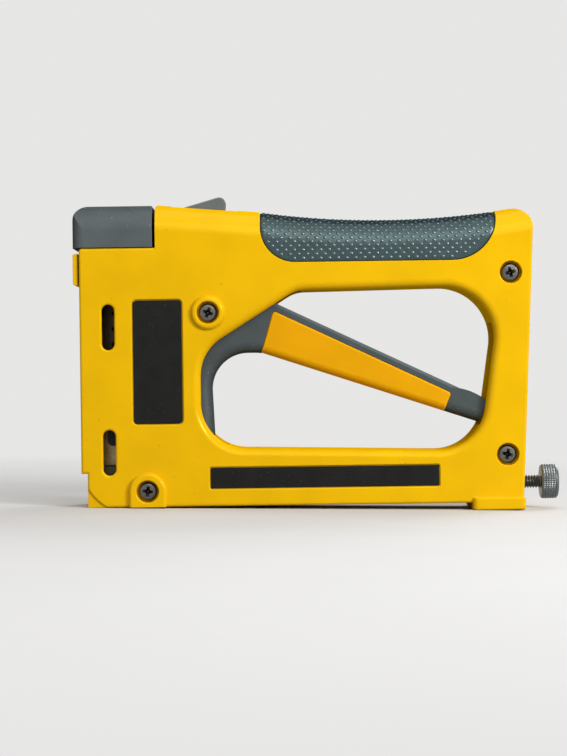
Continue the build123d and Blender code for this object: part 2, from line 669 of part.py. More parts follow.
def pad_outline(fit):
    """Side view of the grip pad's seat, run up past the top of the handle."""
    top = REAR_HEIGHT + BEYOND
    face = side_rectangle(PAD_FRONT_X - fit, PAD_REAR_X + fit, PAD_BOTTOM - fit, top)
    face = round_corner(face, (PAD_FRONT_X, PAD_BOTTOM), PAD_FRONT_RADIUS)
    return round_corner(face, (PAD_REAR_X, PAD_BOTTOM), PAD_REAR_RADIUS)


def pad_seat():
    return slab(pad_outline(PAD_FIT), -HALF - BEYOND, HALF + BEYOND) - form(PAD_DEPTH + PAD_FIT)


def foot():
    """Wide rear foot with rounded corners and edges, across both halves."""
    rear = SOLE_LENGTH + FOOT_OVERHANG
    bar = block(rear - FOOT_LENGTH, rear, -FOOT_WIDTH / 2, FOOT_WIDTH / 2, -FOOT_DROP, FOOT_RISE)
    bar = fillet(bar.edges().filter_by(Axis.Z).sort_by(Axis.X)[:2], FOOT_END_RADIUS)
    bar = fillet(bar.edges().filter_by(Axis.Z).sort_by(Axis.X)[-2:], FOOT_REAR_RADIUS)
    return fillet(bar.faces().filter_by(Axis.Z).edges(), FOOT_EDGE_RADIUS)


def rear_hole():
    return disc_along(SEAT_FRONT_X, KNOB_FRONT_X, DRIVE_AXIS_Z, REAR_HOLE_DIAMETER / 2)


def housing():
    """Both halves in one piece, before the case is parted."""
    shell = outer_form() - cavity()
    shell -= lever_slots()
    shell -= tail_slot()
    shell -= front_cuts()
    shell -= nose_corners()
    shell -= slide_slot()
    shell -= pad_seat()
    shell += foot()
    return shell - rear_hole()


def screw_places():
    """Centre and outer face of each case screw: pivot, nose, rear upper, rear lower."""
    return [
        (PIVOT_X, PIVOT_Z, HALF + PIVOT_BOSS_RISE),
        (NOSE_SCREW_X, NOSE_SCREW_Z, HALF + NOSE_BOSS_RISE),
        (REAR_UPPER_SCREW_X, REAR_UPPER_SCREW_Z, HALF),
        (REAR_LOWER_SCREW_X, REAR_LOWER_SCREW_Z, HALF),
    ]


def screw_room(x, z, face_y):
    """Clearance of one case screw through both halves: shank bore and counterbore."""
    bore = disc_across(x, z, SCREW_DIAMETER / 2 + SCREW_FIT, -HALF, HALF - SCREW_TIP_COVER)
    return bore + disc_across(x, z, COUNTERBORE_DIAMETER / 2, -face_y - WALL, COUNTERBORE_DEPTH - face_y)


def pivot_boss():
    boss = disc_across(PIVOT_X, PIVOT_Z, PIVOT_BOSS_RADIUS, -HALF - PIVOT_BOSS_RISE, -HALF)
    rim = boss.edges().sort_by(Axis.Y)[0]
    return fillet(rim, PIVOT_BOSS_EDGE)


def nose_boss():
    """Arched boss round the nose screw, run down to the sole."""
    arch = Pos(NOSE_SCREW_X, NOSE_SCREW_Z) * Circle(NOSE_BOSS_RADIUS)
    legs = side_rectangle(NOSE_SCREW_X - NOSE_BOSS_RADIUS, NOSE_SCREW_X + NOSE_BOSS_RADIUS, 0, NOSE_SCREW_Z)
    below = side_rectangle(
        NOSE_SCREW_X - NOSE_BOSS_RADIUS, NOSE_SCREW_X + NOSE_BOSS_RADIUS, -NOSE_BOSS_RADIUS, 0
    )
    boss = slab(arch + legs - below, -HALF - NOSE_BOSS_RISE, SIDE_EDGE_RADIUS - HALF)
    rim = boss.faces().sort_by(Axis.Y)[0].edges().filter_by(lambda edge: edge.center().Z > PAD_FIT)
    return fillet(rim, NOSE_BOSS_EDGE)


def counterbore_rims(half):
    """Rim of each screw's counterbore on the left half."""
    rims = []
    for x, z, face_y in screw_places():
        centre = Vector(x, -face_y, z)
        circles = half.edges().filter_by(GeomType.CIRCLE)
        bores = circles.filter_by(lambda edge: abs(edge.radius - COUNTERBORE_DIAMETER / 2) < SCREW_FIT)
        rims.append(bores.sort_by(lambda edge: (edge.arc_center - centre).length)[0])
    return rims


def label_face(x, z, width, height, radius, fit):
    return Pos(x, z) * RectangleRounded(width + 2 * fit, height + 2 * fit, radius + fit)


def points_label_face(fit):
    return label_face(
        POINTS_LABEL_X, POINTS_LABEL_Z, POINTS_LABEL_WIDTH, POINTS_LABEL_HEIGHT, POINTS_LABEL_RADIUS, fit
    )


def base_label_face(fit):
    return label_face(
        BASE_LABEL_X, BASE_LABEL_Z, BASE_LABEL_LENGTH, BASE_LABEL_HEIGHT, BASE_LABEL_RADIUS, fit
    )


def left_housing(case):
    half = case & block(-BEYOND, SOLE_LENGTH + BEYOND, -BODY_WIDTH, 0, -BEYOND, TOP_FRONT_HEIGHT + BEYOND)
    half += pivot_boss()
    half += nose_boss()
    for x, z, face_y in screw_places():
        half -= screw_room(x, z, face_y)
    half = fillet(counterbore_rims(half), COUNTERBORE_EDGE)
    for face in (points_label_face(LABEL_RIM), base_label_face(LABEL_RIM)):
        half -= slab(face, -HALF, LABEL_FLOOR)
        half = fillet(side_edges(half, face), LABEL_EDGE_RADIUS)
    return half


def right_housing(case):
    half = case & block(-BEYOND, SOLE_LENGTH + BEYOND, 0, BODY_WIDTH, -BEYOND, TOP_FRONT_HEIGHT + BEYOND)
    for x, z, face_y in screw_places():
        half -= screw_room(x, z, face_y)
    return half


def points_label():
    return slab(points_label_face(0), LABEL_FLOOR - LABEL_THICKNESS, LABEL_FLOOR)


def base_label():
    return slab(base_label_face(0), LABEL_FLOOR - LABEL_THICKNESS, LABEL_FLOOR)


def grip_pad():
    sleeve = form(PAD_SINK) - form(PAD_DEPTH)
    return sleeve & slab(pad_outline(0), -HALF - WALL, HALF + WALL)


def case_screw(x, z, face_y):
    """Pan head screw from the left side, its tip short of the right half's outer wall."""
    seat = COUNTERBORE_DEPTH - face_y
    head = disc_across(x, z, SCREW_HEAD_DIAMETER / 2, seat - SCREW_HEAD_HEIGHT, seat)
    crown = head.edges().sort_by(Axis.Y)[0]
    head = fillet(crown, SCREW_HEAD_ROUND)
    return head + disc_across(x, z, SCREW_DIAMETER / 2, seat, HALF - SCREW_TIP_COVER)


def lever_outline():
    """Side view of the lever: hub, grip bar with tail, and the upper part of the cocking arm."""
    tail_top = (tail_x(LEVER_TAIL_TOP_Z), LEVER_TAIL_TOP_Z)
    tail_bottom = (tail_x(LEVER_TAIL_BOTTOM_Z), LEVER_TAIL_BOTTOM_Z)
    top_rear_x = tail_x(LEVER_TAIL_TOP_Z) - LEVER_TAIL_RUN
    top_rear = (top_rear_x, lever_top(top_rear_x))
    top_start_x = PIVOT_X + LEVER_TOP_START
    under_front = (LEVER_UNDER_X, LEVER_UNDER_Z)
    inner_corner = (ARM_REAR_X - ARM_FLARE, LEVER_UNDER_Z)
    middle_z = (LEVER_TAIL_TOP_Z + LEVER_TAIL_BOTTOM_Z) / 2
    crown = SagittaArc(top_rear, tail_top, LEVER_TAIL_CROWN)
    tail = ThreePointArc(tail_top, (tail_x(middle_z), middle_z), tail_bottom)
    rest = Polyline(
        tail_bottom,
        under_front,
        inner_corner,
        (ARM_REAR_X, ARM_BOTTOM),
        (ARM_FRONT_X, ARM_BOTTOM),
        (PIVOT_X - LEVER_HUB_RADIUS, PIVOT_Z),
        (PIVOT_X, PIVOT_Z + LEVER_HUB_RADIUS),
        (top_start_x, lever_top(top_start_x)),
        top_rear,
    )
    face = make_face(crown.edges() + tail.edges() + rest.edges())
    face = round_corner(face, inner_corner, ARM_INNER_RADIUS)
    face = round_corner(face, under_front, LEVER_UNDER_RADIUS)
    return face + Pos(PIVOT_X, PIVOT_Z) * Circle(LEVER_HUB_RADIUS)


def run_on(start, end, extra):
    """End point of the line from start to end, run on by the extra length."""
    way = Vector(end) - Vector(start)
    far = Vector(end) + way.normalized() * extra
    return (far.X, far.Y)


def core_outline(fit, overrun):
    """Side view of the core: parallel to the lever's top edge, past its underside by the overrun."""
    front_top_x = LEVER_UNDER_X + CORE_FRONT_RAKE
    rear_bottom_x = tail_x(LEVER_TAIL_BOTTOM_Z) - CORE_REAR_INSET
    rear_top_x = rear_bottom_x + CORE_REAR_RAKE
    front_top = (front_top_x - fit, lever_top(front_top_x) - CORE_TOP_MARGIN + fit)
    rear_top = (rear_top_x + fit, lever_top(rear_top_x) - CORE_TOP_MARGIN + fit)
    rear_bottom = run_on(rear_top, (rear_bottom_x + fit, under_z(rear_bottom_x)), overrun)
    front_bottom = run_on(front_top, (LEVER_UNDER_X - fit, under_z(LEVER_UNDER_X)), overrun)
    face = Polygon(front_bottom, rear_bottom, rear_top, front_top, align=None)
    face = round_corner(face, front_top, CORE_CORNER_RADIUS)
    return round_corner(face, rear_top, CORE_CORNER_RADIUS)


def lever_bar():
    """Lever without its bores and tip, with a round underside and softened top edges."""
    bar = slab(lever_outline(), -LEVER_HALF, LEVER_HALF)
    rims = bar.edges().filter_by(lambda edge: abs(abs(edge.center().Y) - LEVER_HALF) < CORE_FIT)
    visible = rims.filter_by_position(Axis.X, ARM_REAR_X - CORE_FIT, PIVOT_X + tail_radius())
    under = visible.filter_by(lambda edge: edge.center().Z < lever_top(edge.center().X) - LEVER_UNDER_ROUND)
    under = under.filter_by(lambda edge: edge.center().X < tail_x(LEVER_TAIL_TOP_Z) - LEVER_UNDER_ROUND)
    bar = fillet(under, LEVER_UNDER_ROUND)
    rims = bar.edges().filter_by(lambda edge: abs(abs(edge.center().Y) - LEVER_HALF) < CORE_FIT)
    top = rims.filter_by(lambda edge: abs(edge.center().Z - lever_top(edge.center().X)) < LEVER_TAIL_CROWN)
    return fillet(top, LEVER_TOP_ROUND)


def lever():
    bar = lever_bar()
    tip_half = ARM_TIP_WIDTH / 2
    tip_face = side_rectangle(ARM_TIP_FRONT_X, ARM_REAR_X, ARM_TIP_BOTTOM, ARM_BOTTOM)
    tip_face = round_corner(tip_face, (ARM_TIP_FRONT_X, ARM_TIP_BOTTOM), ARM_TIP_RADIUS)
    bar += slab(tip_face, -tip_half, tip_half)
    pocket_half = RETURN_SPRING_TURNS * RETURN_SPRING_PITCH / 2 + RETURN_SPRING_WIRE / 2 + RETURN_POCKET_GAP
    bar -= disc_across(PIVOT_X, PIVOT_Z, RETURN_POCKET_RADIUS, -pocket_half, pocket_half)
    bar -= disc_across(PIVOT_X, PIVOT_Z, BUSHING_DIAMETER / 2 + BUSHING_FIT, -LEVER_HALF, LEVER_HALF)
    return bar - slab(core_outline(CORE_FIT, WALL), -LEVER_HALF, LEVER_HALF)


def core_under():
    """Waste outside the rounded lower edges of the core."""
    side = LEVER_HALF + CORE_PROUD
    front = Vector(LEVER_UNDER_X, side, LEVER_UNDER_Z)
    rear = Vector(tail_x(LEVER_TAIL_BOTTOM_Z), side, LEVER_TAIL_BOTTOM_Z)
    way = front - rear
    section_plane = Plane(origin=rear, x_dir=(0, 1, 0), z_dir=way)
    section = section_plane * shoulder_section(CORE_UNDER_ROUND, 0)
    return both_sides(extrude(section, amount=way.length + WALL))


def lever_core():
    core_half = LEVER_HALF + CORE_PROUD
    core = slab(core_outline(0, 0), -core_half, core_half)
    rims = core.faces().filter_by(Axis.Y).edges()
    return fillet(rims, CORE_EDGE) - core_under()


def lever_bushing():
    tube = disc_across(PIVOT_X, PIVOT_Z, BUSHING_DIAMETER / 2, -SLOT_HALF, SLOT_HALF)
    return tube - disc_across(PIVOT_X, PIVOT_Z, SCREW_DIAMETER / 2 + SCREW_FIT, -SLOT_HALF, SLOT_HALF)


def lever_return_spring():
    wound = coil(
        "lever_return_spring",
        RETURN_SPRING_RADIUS,
        RETURN_SPRING_WIRE,
        RETURN_SPRING_PITCH,
        RETURN_SPRING_TURNS,
    )
    half_length = RETURN_SPRING_TURNS * RETURN_SPRING_PITCH / 2
    return Plane(origin=(PIVOT_X, -half_length, PIVOT_Z), x_dir=(1, 0, 0), z_dir=(0, 1, 0)) * wound


def nose_plate():
    """Front plate with the point exit at its foot and the bent tab near its head."""
    half = NOSE_PLATE_WIDTH / 2
    plate = block(NOSE_PLATE_X, NOSE_PLATE_REAR_X, -half, half, NOSE_PLATE_BOTTOM, LEDGE_UNDERSIDE)
    stem_half = TAB_WIDTH / 2
    stem_low = TAB_BOTTOM + TAB_STEM_INSET
    stem_high = TAB_TOP - TAB_STEM_INSET
    plate += block(TAB_FRONT_X, NOSE_PLATE_X, -stem_half, stem_half, stem_low, stem_high)
    tab_half = TAB_PLATE_WIDTH / 2
    tab = side_rectangle(TAB_FRONT_X, TAB_FRONT_X + TAB_PLATE, TAB_BOTTOM, TAB_TOP)
    tab = round_corner(tab, (TAB_FRONT_X, TAB_TOP), TAB_CORNER_RADIUS)
    tab = round_corner(tab, (TAB_FRONT_X, TAB_BOTTOM), TAB_CORNER_RADIUS)
    plate += slab(tab, -tab_half, tab_half)
    exit_half = BLADE_WIDTH / 2 + BLADE_SLOT_GAP
    exit_top = BLADE_BOTTOM + BLADE_THICKNESS + BLADE_SLOT_GAP
    return plate - block(
        NOSE_PLATE_X, NOSE_PLATE_REAR_X, -exit_half, exit_half, BLADE_BOTTOM - BLADE_SLOT_GAP, exit_top
    )


def driver_track():
    """Folded channel in the sole that guides the blade and the striker block."""
    half = TRACK_WIDTH / 2
    channel = block(TRACK_FRONT_X, TRACK_REAR_X, -half, half, TRACK_BOTTOM, TRACK_TOP)
    inner = half - TRACK_SHEET
    channel -= block(TRACK_FRONT_X, TRACK_REAR_X, -inner, inner, TRACK_BOTTOM + TRACK_SHEET, TRACK_TOP)
    return channel - disc_across(NOSE_SCREW_X, NOSE_SCREW_Z, SCREW_DIAMETER / 2 + SCREW_FIT, -half, half)


def striker_blade():
    half = BLADE_WIDTH / 2
    return block(BLADE_TIP_X, BLOCK_REAR_X, -half, half, BLADE_BOTTOM, BLOCK_BOTTOM)


def striker_block():
    half = BLOCK_WIDTH / 2
    solid = block(BLOCK_FRONT_X, BLOCK_REAR_X, -half, half, BLOCK_BOTTOM, BLOCK_BOTTOM + BLOCK_HEIGHT)
    top_edges = solid.faces().sort_by(Axis.Z)[-1].edges().filter_by(Axis.X)
    return chamfer(top_edges, BLOCK_CORNER)


def drive_spring():
    """Compression spring from the striker block to the tension seat, along X."""
    free_length = SEAT_FRONT_X - BLOCK_REAR_X - DRIVE_SPRING_WIRE
    radius = (DRIVE_SPRING_DIAMETER - DRIVE_SPRING_WIRE) / 2
    pitch = free_length / DRIVE_SPRING_TURNS
    wound = coil("drive_spring", radius, DRIVE_SPRING_WIRE, pitch, DRIVE_SPRING_TURNS)
    start = (BLOCK_REAR_X + DRIVE_SPRING_WIRE / 2, 0, DRIVE_AXIS_Z)
    return Plane(origin=start, x_dir=(0, 1, 0), z_dir=(1, 0, 0)) * wound


def tension_seat():
    """Cup that closes the drive spring, with a nose inside its last turns."""
    nose_radius = DRIVE_SPRING_DIAMETER / 2 - DRIVE_SPRING_WIRE - SEAT_NOSE_GAP
    nose_front = SEAT_FRONT_X - SEAT_NOSE_LENGTH
    nose = disc_along(nose_front, SEAT_FRONT_X, DRIVE_AXIS_Z, nose_radius)
    return nose + disc_along(SEAT_FRONT_X, SEAT_REAR_X, DRIVE_AXIS_Z, SEAT_DIAMETER / 2)


def thumbscrew():
    shank = disc_along(SEAT_REAR_X, KNOB_FRONT_X, DRIVE_AXIS_Z, THREAD_DIAMETER / 2)
    knob = disc_along(KNOB_FRONT_X, KNOB_REAR_X, DRIVE_AXIS_Z, KNOB_DIAMETER / 2)
    rims = knob.edges().filter_by(GeomType.CIRCLE).sort_by(Axis.X)
    return fillet(rims[-1], KNOB_ROUND) + shank


def tension_nut():
    half = NUT_SIZE / 2
    nut = block(NUT_FRONT_X, NUT_REAR_X, -half, half, DRIVE_AXIS_Z - half, DRIVE_AXIS_Z + half)
    return nut - disc_along(NUT_FRONT_X, NUT_REAR_X, DRIVE_AXIS_Z, THREAD_DIAMETER / 2 + THREAD_FIT)


def magazine_guide():
    """Folded sheet behind the points, standing on the track and reaching up to the ledge."""
    half = GUIDE_WIDTH / 2
    rear = SHAFT_REAR_X + GUIDE_SHEET
    sheet = block(rear - GUIDE_FLANGE, rear, -half, half, TRACK_TOP, LEDGE_UNDERSIDE)
    inner = half - GUIDE_SHEET
    return sheet - block(rear - GUIDE_FLANGE, SHAFT_REAR_X, -inner, inner, TRACK_TOP, LEDGE_UNDERSIDE)


def follower():
    """Block that presses the points down, with a round toe and a pocket for its spring."""
    face = side_rectangle(FOLLOWER_FRONT_X, FOLLOWER_REAR_X, FOLLOWER_BOTTOM, FOLLOWER_TOP)
    face = round_corner(face, (FOLLOWER_FRONT_X, FOLLOWER_BOTTOM), FOLLOWER_TOE_RADIUS)
    solid = slab(face, -FOLLOWER_WIDTH / 2, FOLLOWER_WIDTH / 2)
    pocket_radius = FOLLOWER_SPRING_DIAMETER / 2 + FOLLOWER_POCKET_GAP
    pocket = Cylinder(pocket_radius, FOLLOWER_POCKET_DEPTH, align=(Align.CENTER, Align.CENTER, Align.MAX))
    return solid - Pos(FOLLOWER_AXIS_X, 0, FOLLOWER_TOP) * pocket


def magazine_cap():
    """Cap of the front tower, with the housing's rounded shoulders and a spring pocket below."""
    face = side_rectangle(CAP_FRONT_X, CAP_REAR_X, CAP_BOTTOM, CAP_TOP)
    face = round_corner(face, (CAP_FRONT_X, CAP_TOP), CAP_FRONT_RADIUS)
    face = round_corner(face, (CAP_REAR_X, CAP_TOP), CAP_REAR_RADIUS)
    plan = side_rectangle(CAP_FRONT_X, CAP_REAR_X, -HALF, HALF)
    plan = round_corner(plan, (CAP_FRONT_X, -HALF), CAP_SIDE_RADIUS)
    plan = round_corner(plan, (CAP_FRONT_X, HALF), CAP_SIDE_RADIUS)
    solid = slab(face, -HALF, HALF) & extrude(plan, amount=CAP_TOP + BEYOND)
    corner = Plane(origin=Vector(CAP_FRONT_X, HALF, CAP_TOP), x_dir=(0, 1, 0), z_dir=(1, 0, 0))
    waste = extrude(corner * shoulder_section(CAP_SHOULDER, 0), amount=CAP_REAR_X - CAP_FRONT_X)
    solid -= both_sides(waste)
    pocket_front = FOLLOWER_AXIS_X - CAP_POCKET_LENGTH / 2
    pocket_half = CAP_POCKET_WIDTH / 2
    return solid - block(
        pocket_front, pocket_front + CAP_POCKET_LENGTH, -pocket_half, pocket_half, CAP_BOTTOM, POCKET_ROOF
    )


def spring_rod():
    rod = Cylinder(ROD_DIAMETER / 2, ROD_LENGTH, align=(Align.CENTER, Align.CENTER, Align.MAX))
    return Pos(FOLLOWER_AXIS_X, 0, POCKET_ROOF) * rod


def follower_spring():
    floor = FOLLOWER_TOP - FOLLOWER_POCKET_DEPTH
    radius = (FOLLOWER_SPRING_DIAMETER - FOLLOWER_SPRING_WIRE) / 2
    pitch = (POCKET_ROOF - floor - FOLLOWER_SPRING_WIRE) / FOLLOWER_SPRING_TURNS
    wound = coil("follower_spring", radius, FOLLOWER_SPRING_WIRE, pitch, FOLLOWER_SPRING_TURNS)
    return Pos(FOLLOWER_AXIS_X, 0, floor + FOLLOWER_SPRING_WIRE / 2) * wound


def thumb_slide():
    """Ramped thumb piece through the top slot, on a plate that runs under the top wall."""
    half = SLIDE_LENGTH / 2
    plate_top = -WALL - SLIDE_GAP
    crest = (half, SLIDE_RISE)
    ramp = Polygon((-half, plate_top), (half, plate_top), crest, (-half, 0), align=None)
    ramp = round_corner(ramp, crest, SLIDE_CORNER_RADIUS)
    thumb = slab(ramp, -SLIDE_WIDTH / 2, SLIDE_WIDTH / 2)
    rims = thumb.faces().filter_by(Axis.Y).edges().filter_by(lambda edge: edge.center().Z > 0)
    thumb = fillet(rims, SLIDE_EDGE_RADIUS)
    plate_half = SLIDE_PLATE_LENGTH / 2
    plate_bottom = plate_top - SLIDE_PLATE_THICKNESS
    plate = block(
        -plate_half, plate_half, -SLIDE_PLATE_WIDTH / 2, SLIDE_PLATE_WIDTH / 2, plate_bottom, plate_top
    )
    return slide_plane() * (thumb + plate)


def write(name, solid):
    export_step(TO_ORIGIN * solid, os.path.join("parts", f"{name}.step"))


def main():
    os.makedirs("parts", exist_ok=True)
    case = housing()
    write("left_housing", left_housing(case))
    write("right_housing", right_housing(case))
    write("points_label", points_label())
    write("base_label", base_label())
    write("grip_pad", grip_pad())
    for number, (x, z, face_y) in enumerate(screw_places(), start=1):
        write(f"case_screw_{number}", case_screw(x, z, face_y))
    write("lever", lever())
    write("lever_core", lever_core())
    write("lever_bushing", lever_bushing())
    write("lever_return_spring", lever_return_spring())
    write("nose_plate", nose_plate())
    write("driver_track", driver_track())
    write("striker_blade", striker_blade())
    write("striker_block", striker_block())
    write("drive_spring", drive_spring())
    write("tension_seat", tension_seat())
    write("thumbscrew", thumbscrew())
    write("tension_nut", tension_nut())
    write("magazine_guide", magazine_guide())
    write("follower", follower())
    write("magazine_cap", magazine_cap())
    write("spring_rod", spring_rod())
    write("follower_spring", follower_spring())
    write("thumb_slide", thumb_slide())


main()
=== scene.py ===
import math

import bpy
import bmesh
from mathutils import Matrix, Vector, geometry
from mathutils.bvhtree import BVHTree


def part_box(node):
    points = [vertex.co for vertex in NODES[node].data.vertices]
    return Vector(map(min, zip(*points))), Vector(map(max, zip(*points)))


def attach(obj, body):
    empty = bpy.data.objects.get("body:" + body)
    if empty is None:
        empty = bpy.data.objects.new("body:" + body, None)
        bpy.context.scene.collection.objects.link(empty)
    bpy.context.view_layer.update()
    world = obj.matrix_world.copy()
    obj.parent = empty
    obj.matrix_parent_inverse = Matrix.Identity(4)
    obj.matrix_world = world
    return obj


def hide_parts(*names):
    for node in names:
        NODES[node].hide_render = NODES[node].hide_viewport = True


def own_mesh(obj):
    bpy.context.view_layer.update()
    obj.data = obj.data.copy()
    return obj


bl_info = {
    "name": "Framing point driver",
    "version": (1, 0, 0),
    "blender": (4, 5, 0),
    "location": "View3D > Sidebar > Point driver",
    "description": "Finishes and fine detail of a hand-squeezed picture framing point driver",
    "category": "Object",
}

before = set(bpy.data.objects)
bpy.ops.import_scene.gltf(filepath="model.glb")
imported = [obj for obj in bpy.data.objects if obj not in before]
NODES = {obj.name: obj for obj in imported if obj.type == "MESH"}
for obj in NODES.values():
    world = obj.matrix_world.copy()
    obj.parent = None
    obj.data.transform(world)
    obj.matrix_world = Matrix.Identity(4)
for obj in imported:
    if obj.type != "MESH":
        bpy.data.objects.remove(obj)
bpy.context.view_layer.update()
MM = 0.001

# Spans that the finishes share: of noise, of a mix, and of the grazing over which sheen dies away
MIDDLE = (0.3, 0.7)
WHOLE = (0.0, 1.0)
GRAZING = (0.15, 0.5)

# Colours of scuffs, dust and dirt, and of painted highlights and painted shade
PAINTED_EDGE_HIGHLIGHT = (1.0, 0.68, 0.02, 1.0)
PINHOLE = (0.16, 0.09, 0.01, 1.0)
CORE_RIM_HIGHLIGHT = (0.95, 0.56, 0.003, 1.0)
SCUFF = (0.2, 0.1, 0.01, 1.0)
DUST = (0.55, 0.55, 0.53, 1.0)
BLOOM = (0.17, 0.19, 0.19, 1.0)
SPECK = (0.4, 0.4, 0.4, 1.0)
GRIME_AND_SHADE = (0.012, 0.011, 0.010, 1.0)
UPPER_SHADE = (0.05, 0.042, 0.034, 1.0)

# Scale of steel's streaks along each axis: a small one draws them out that way
LENGTHWISE = (0.06, 1, 1)
UPRIGHT = (1, 1, 0.06)
EVEN = (1, 1, 1)

# Round forms: samples of an edge, steps in a coil's turn, sides of wire, steps in a quarter round
EDGE_SAMPLES = 6
COIL_STEPS = 28
WIRE_SIDES = 8
ROUND_STEPS = 6


# Shader helpers


def new_surface(name):
    """A material with one Principled shader, returned with its node tree."""
    material = bpy.data.materials.new(name)
    material.use_nodes = True
    return material, material.node_tree, material.node_tree.nodes["Principled BSDF"]


def add_node(tree, kind, inputs=None, **settings):
    """A new node; an input given as a socket is linked, any other is set."""
    node = tree.nodes.new(kind)
    for key, value in settings.items():
        setattr(node, key, value)
    for key, value in (inputs or {}).items():
        if isinstance(value, bpy.types.NodeSocket):
            tree.links.new(value, node.inputs[key])
        else:
            node.inputs[key].default_value = value
    return node


def object_place(tree):
    """Coordinates fixed to the piece."""
    return add_node(tree, "ShaderNodeTexCoord").outputs["Object"]


def noise(tree, place, grain_mm, detail, stretch=EVEN):
    """Noise whose grains are about the given size across."""
    scaled = add_node(tree, "ShaderNodeMapping", {"Vector": place, "Scale": stretch}).outputs["Vector"]
    inputs = {"Vector": scaled, "Scale": 1 / (grain_mm * MM), "Detail": detail}
    return add_node(tree, "ShaderNodeTexNoise", inputs).outputs["Fac"]


def ramp(tree, value, span, to):
    """Map a value's span onto another, clamped at both ends."""
    inputs = {"Value": value, "From Min": span[0], "From Max": span[1], "To Min": to[0], "To Max": to[1]}
    return add_node(tree, "ShaderNodeMapRange", inputs).outputs["Result"]


def patches(tree, place, grain_mm, detail, span=MIDDLE, to=WHOLE):
    """Noise of a grain size, with its span mapped onto another."""
    return ramp(tree, noise(tree, place, grain_mm, detail), span, to)


def math_node(tree, operation, first, second):
    """Two values joined by one operation."""
    return add_node(tree, "ShaderNodeMath", {0: first, 1: second}, operation=operation).outputs["Value"]


def mix_colour(tree, factor, first, second):
    """From the first colour to the second as the factor rises."""
    inputs = {0: factor, 6: first, 7: second}
    return add_node(tree, "ShaderNodeMix", inputs, data_type="RGBA").outputs[2]


def height_of(tree, vector):
    """The upward share of a vector."""
    return add_node(tree, "ShaderNodeSeparateXYZ", {0: vector}).outputs["Z"]


def rounded_normal(tree, radius_mm):
    """Normal of a surface whose edges are softly rounded."""
    rounded = add_node(tree, "ShaderNodeBevel", {"Radius": radius_mm * MM}, samples=EDGE_SAMPLES)
    return rounded.outputs["Normal"]


def along_edges(tree, normal, share):
    """A share that shows only along edges, where the rounded normal leaves the face's own."""
    face = add_node(tree, "ShaderNodeNewGeometry").outputs["Normal"]
    dot = add_node(tree, "ShaderNodeVectorMath", {0: face, 1: normal}, operation="DOT_PRODUCT")
    return math_node(tree, "MULTIPLY", ramp(tree, dot.outputs["Value"], (0.99, 0.8), WHOLE), share)


def bump(tree, height, depth_mm, normal):
    """Normal of a surface with fine relief."""
    inputs = {"Height": height, "Distance": depth_mm * MM, "Strength": 1.0, "Normal": normal}
    return add_node(tree, "ShaderNodeBump", inputs).outputs["Normal"]


def shade(colour, factor):
    """A colour made darker or lighter, with full cover."""
    return (colour[0] * factor, colour[1] * factor, colour[2] * factor, 1.0)


def lay_on(tree, surface, colour, roughness, normal):
    """Link a finish's colour, roughness and relief to its shader."""
    for socket, value in (("Base Color", colour), ("Roughness", roughness), ("Normal", normal)):
        tree.links.new(value, surface.inputs[socket])


def gloss(tree, surface, level, coat=0.0):
    """Sheen of a fine-grained skin, and of any coat on it, which dies away at grazing angles."""
    grazing = add_node(tree, "ShaderNodeLayerWeight", {"Blend": 0.5}).outputs["Facing"]
    tree.links.new(ramp(tree, grazing, GRAZING, (level, 0.0)), surface.inputs["Specular IOR Level"])
    if coat:
        tree.links.new(ramp(tree, grazing, GRAZING, (coat, 0.0)), surface.inputs["Coat Weight"])


def background_seen(tree):
    """1 for a ray from the camera, off a glossy surface or through a clear one, else 0."""
    path = add_node(tree, "ShaderNodeLightPath").outputs
    direct = math_node(tree, "MAXIMUM", path["Is Camera Ray"], path["Is Transmission Ray"])
    return math_node(tree, "MAXIMUM", direct, path["Is Glossy Ray"])


# Finishes: grains, rounded edges and relief are in millimetres


def cast_paint(name, colour):
    """Glossy enamel on a die casting: faint mottle, orange peel, rare dark pinholes, and edges lightened
    as a painted highlight.
    """
    material, tree, surface = new_surface(name)
    place = object_place(tree)
    normal = rounded_normal(tree, 0.45)
    mottle = patches(tree, place, 16.0, 3.0, (0.35, 0.65))
    coat = mix_colour(tree, mottle, shade(colour, 0.955), shade(colour, 1.03))
    # Edges lightened to a paler yellow: a painted highlight, patchy along the edge.
    edge_highlight = patches(tree, place, 4.0, 4.0, (0.35, 0.7), (0.25, 0.7))
    coat = mix_colour(tree, along_edges(tree, normal, edge_highlight), coat, PAINTED_EDGE_HIGHLIGHT)
    pinhole = patches(tree, place, 1.1, 1.0, (0.8, 0.815), (0.0, 0.75))
    coat = mix_colour(tree, pinhole, coat, PINHOLE)
    peel = math_node(tree, "SUBTRACT", noise(tree, place, 0.9, 1.5), pinhole)
    roughness = patches(tree, place, 7.0, 4.0, to=(0.17, 0.27))
    lay_on(tree, surface, coat, roughness, bump(tree, peel, 0.02, normal))
    gloss(tree, surface, 0.4, 0.05)
    surface.inputs["Specular Tint"].default_value = (1.0, 0.8, 0.1, 1.0)
    surface.inputs["Coat Roughness"].default_value = 0.12
    return material


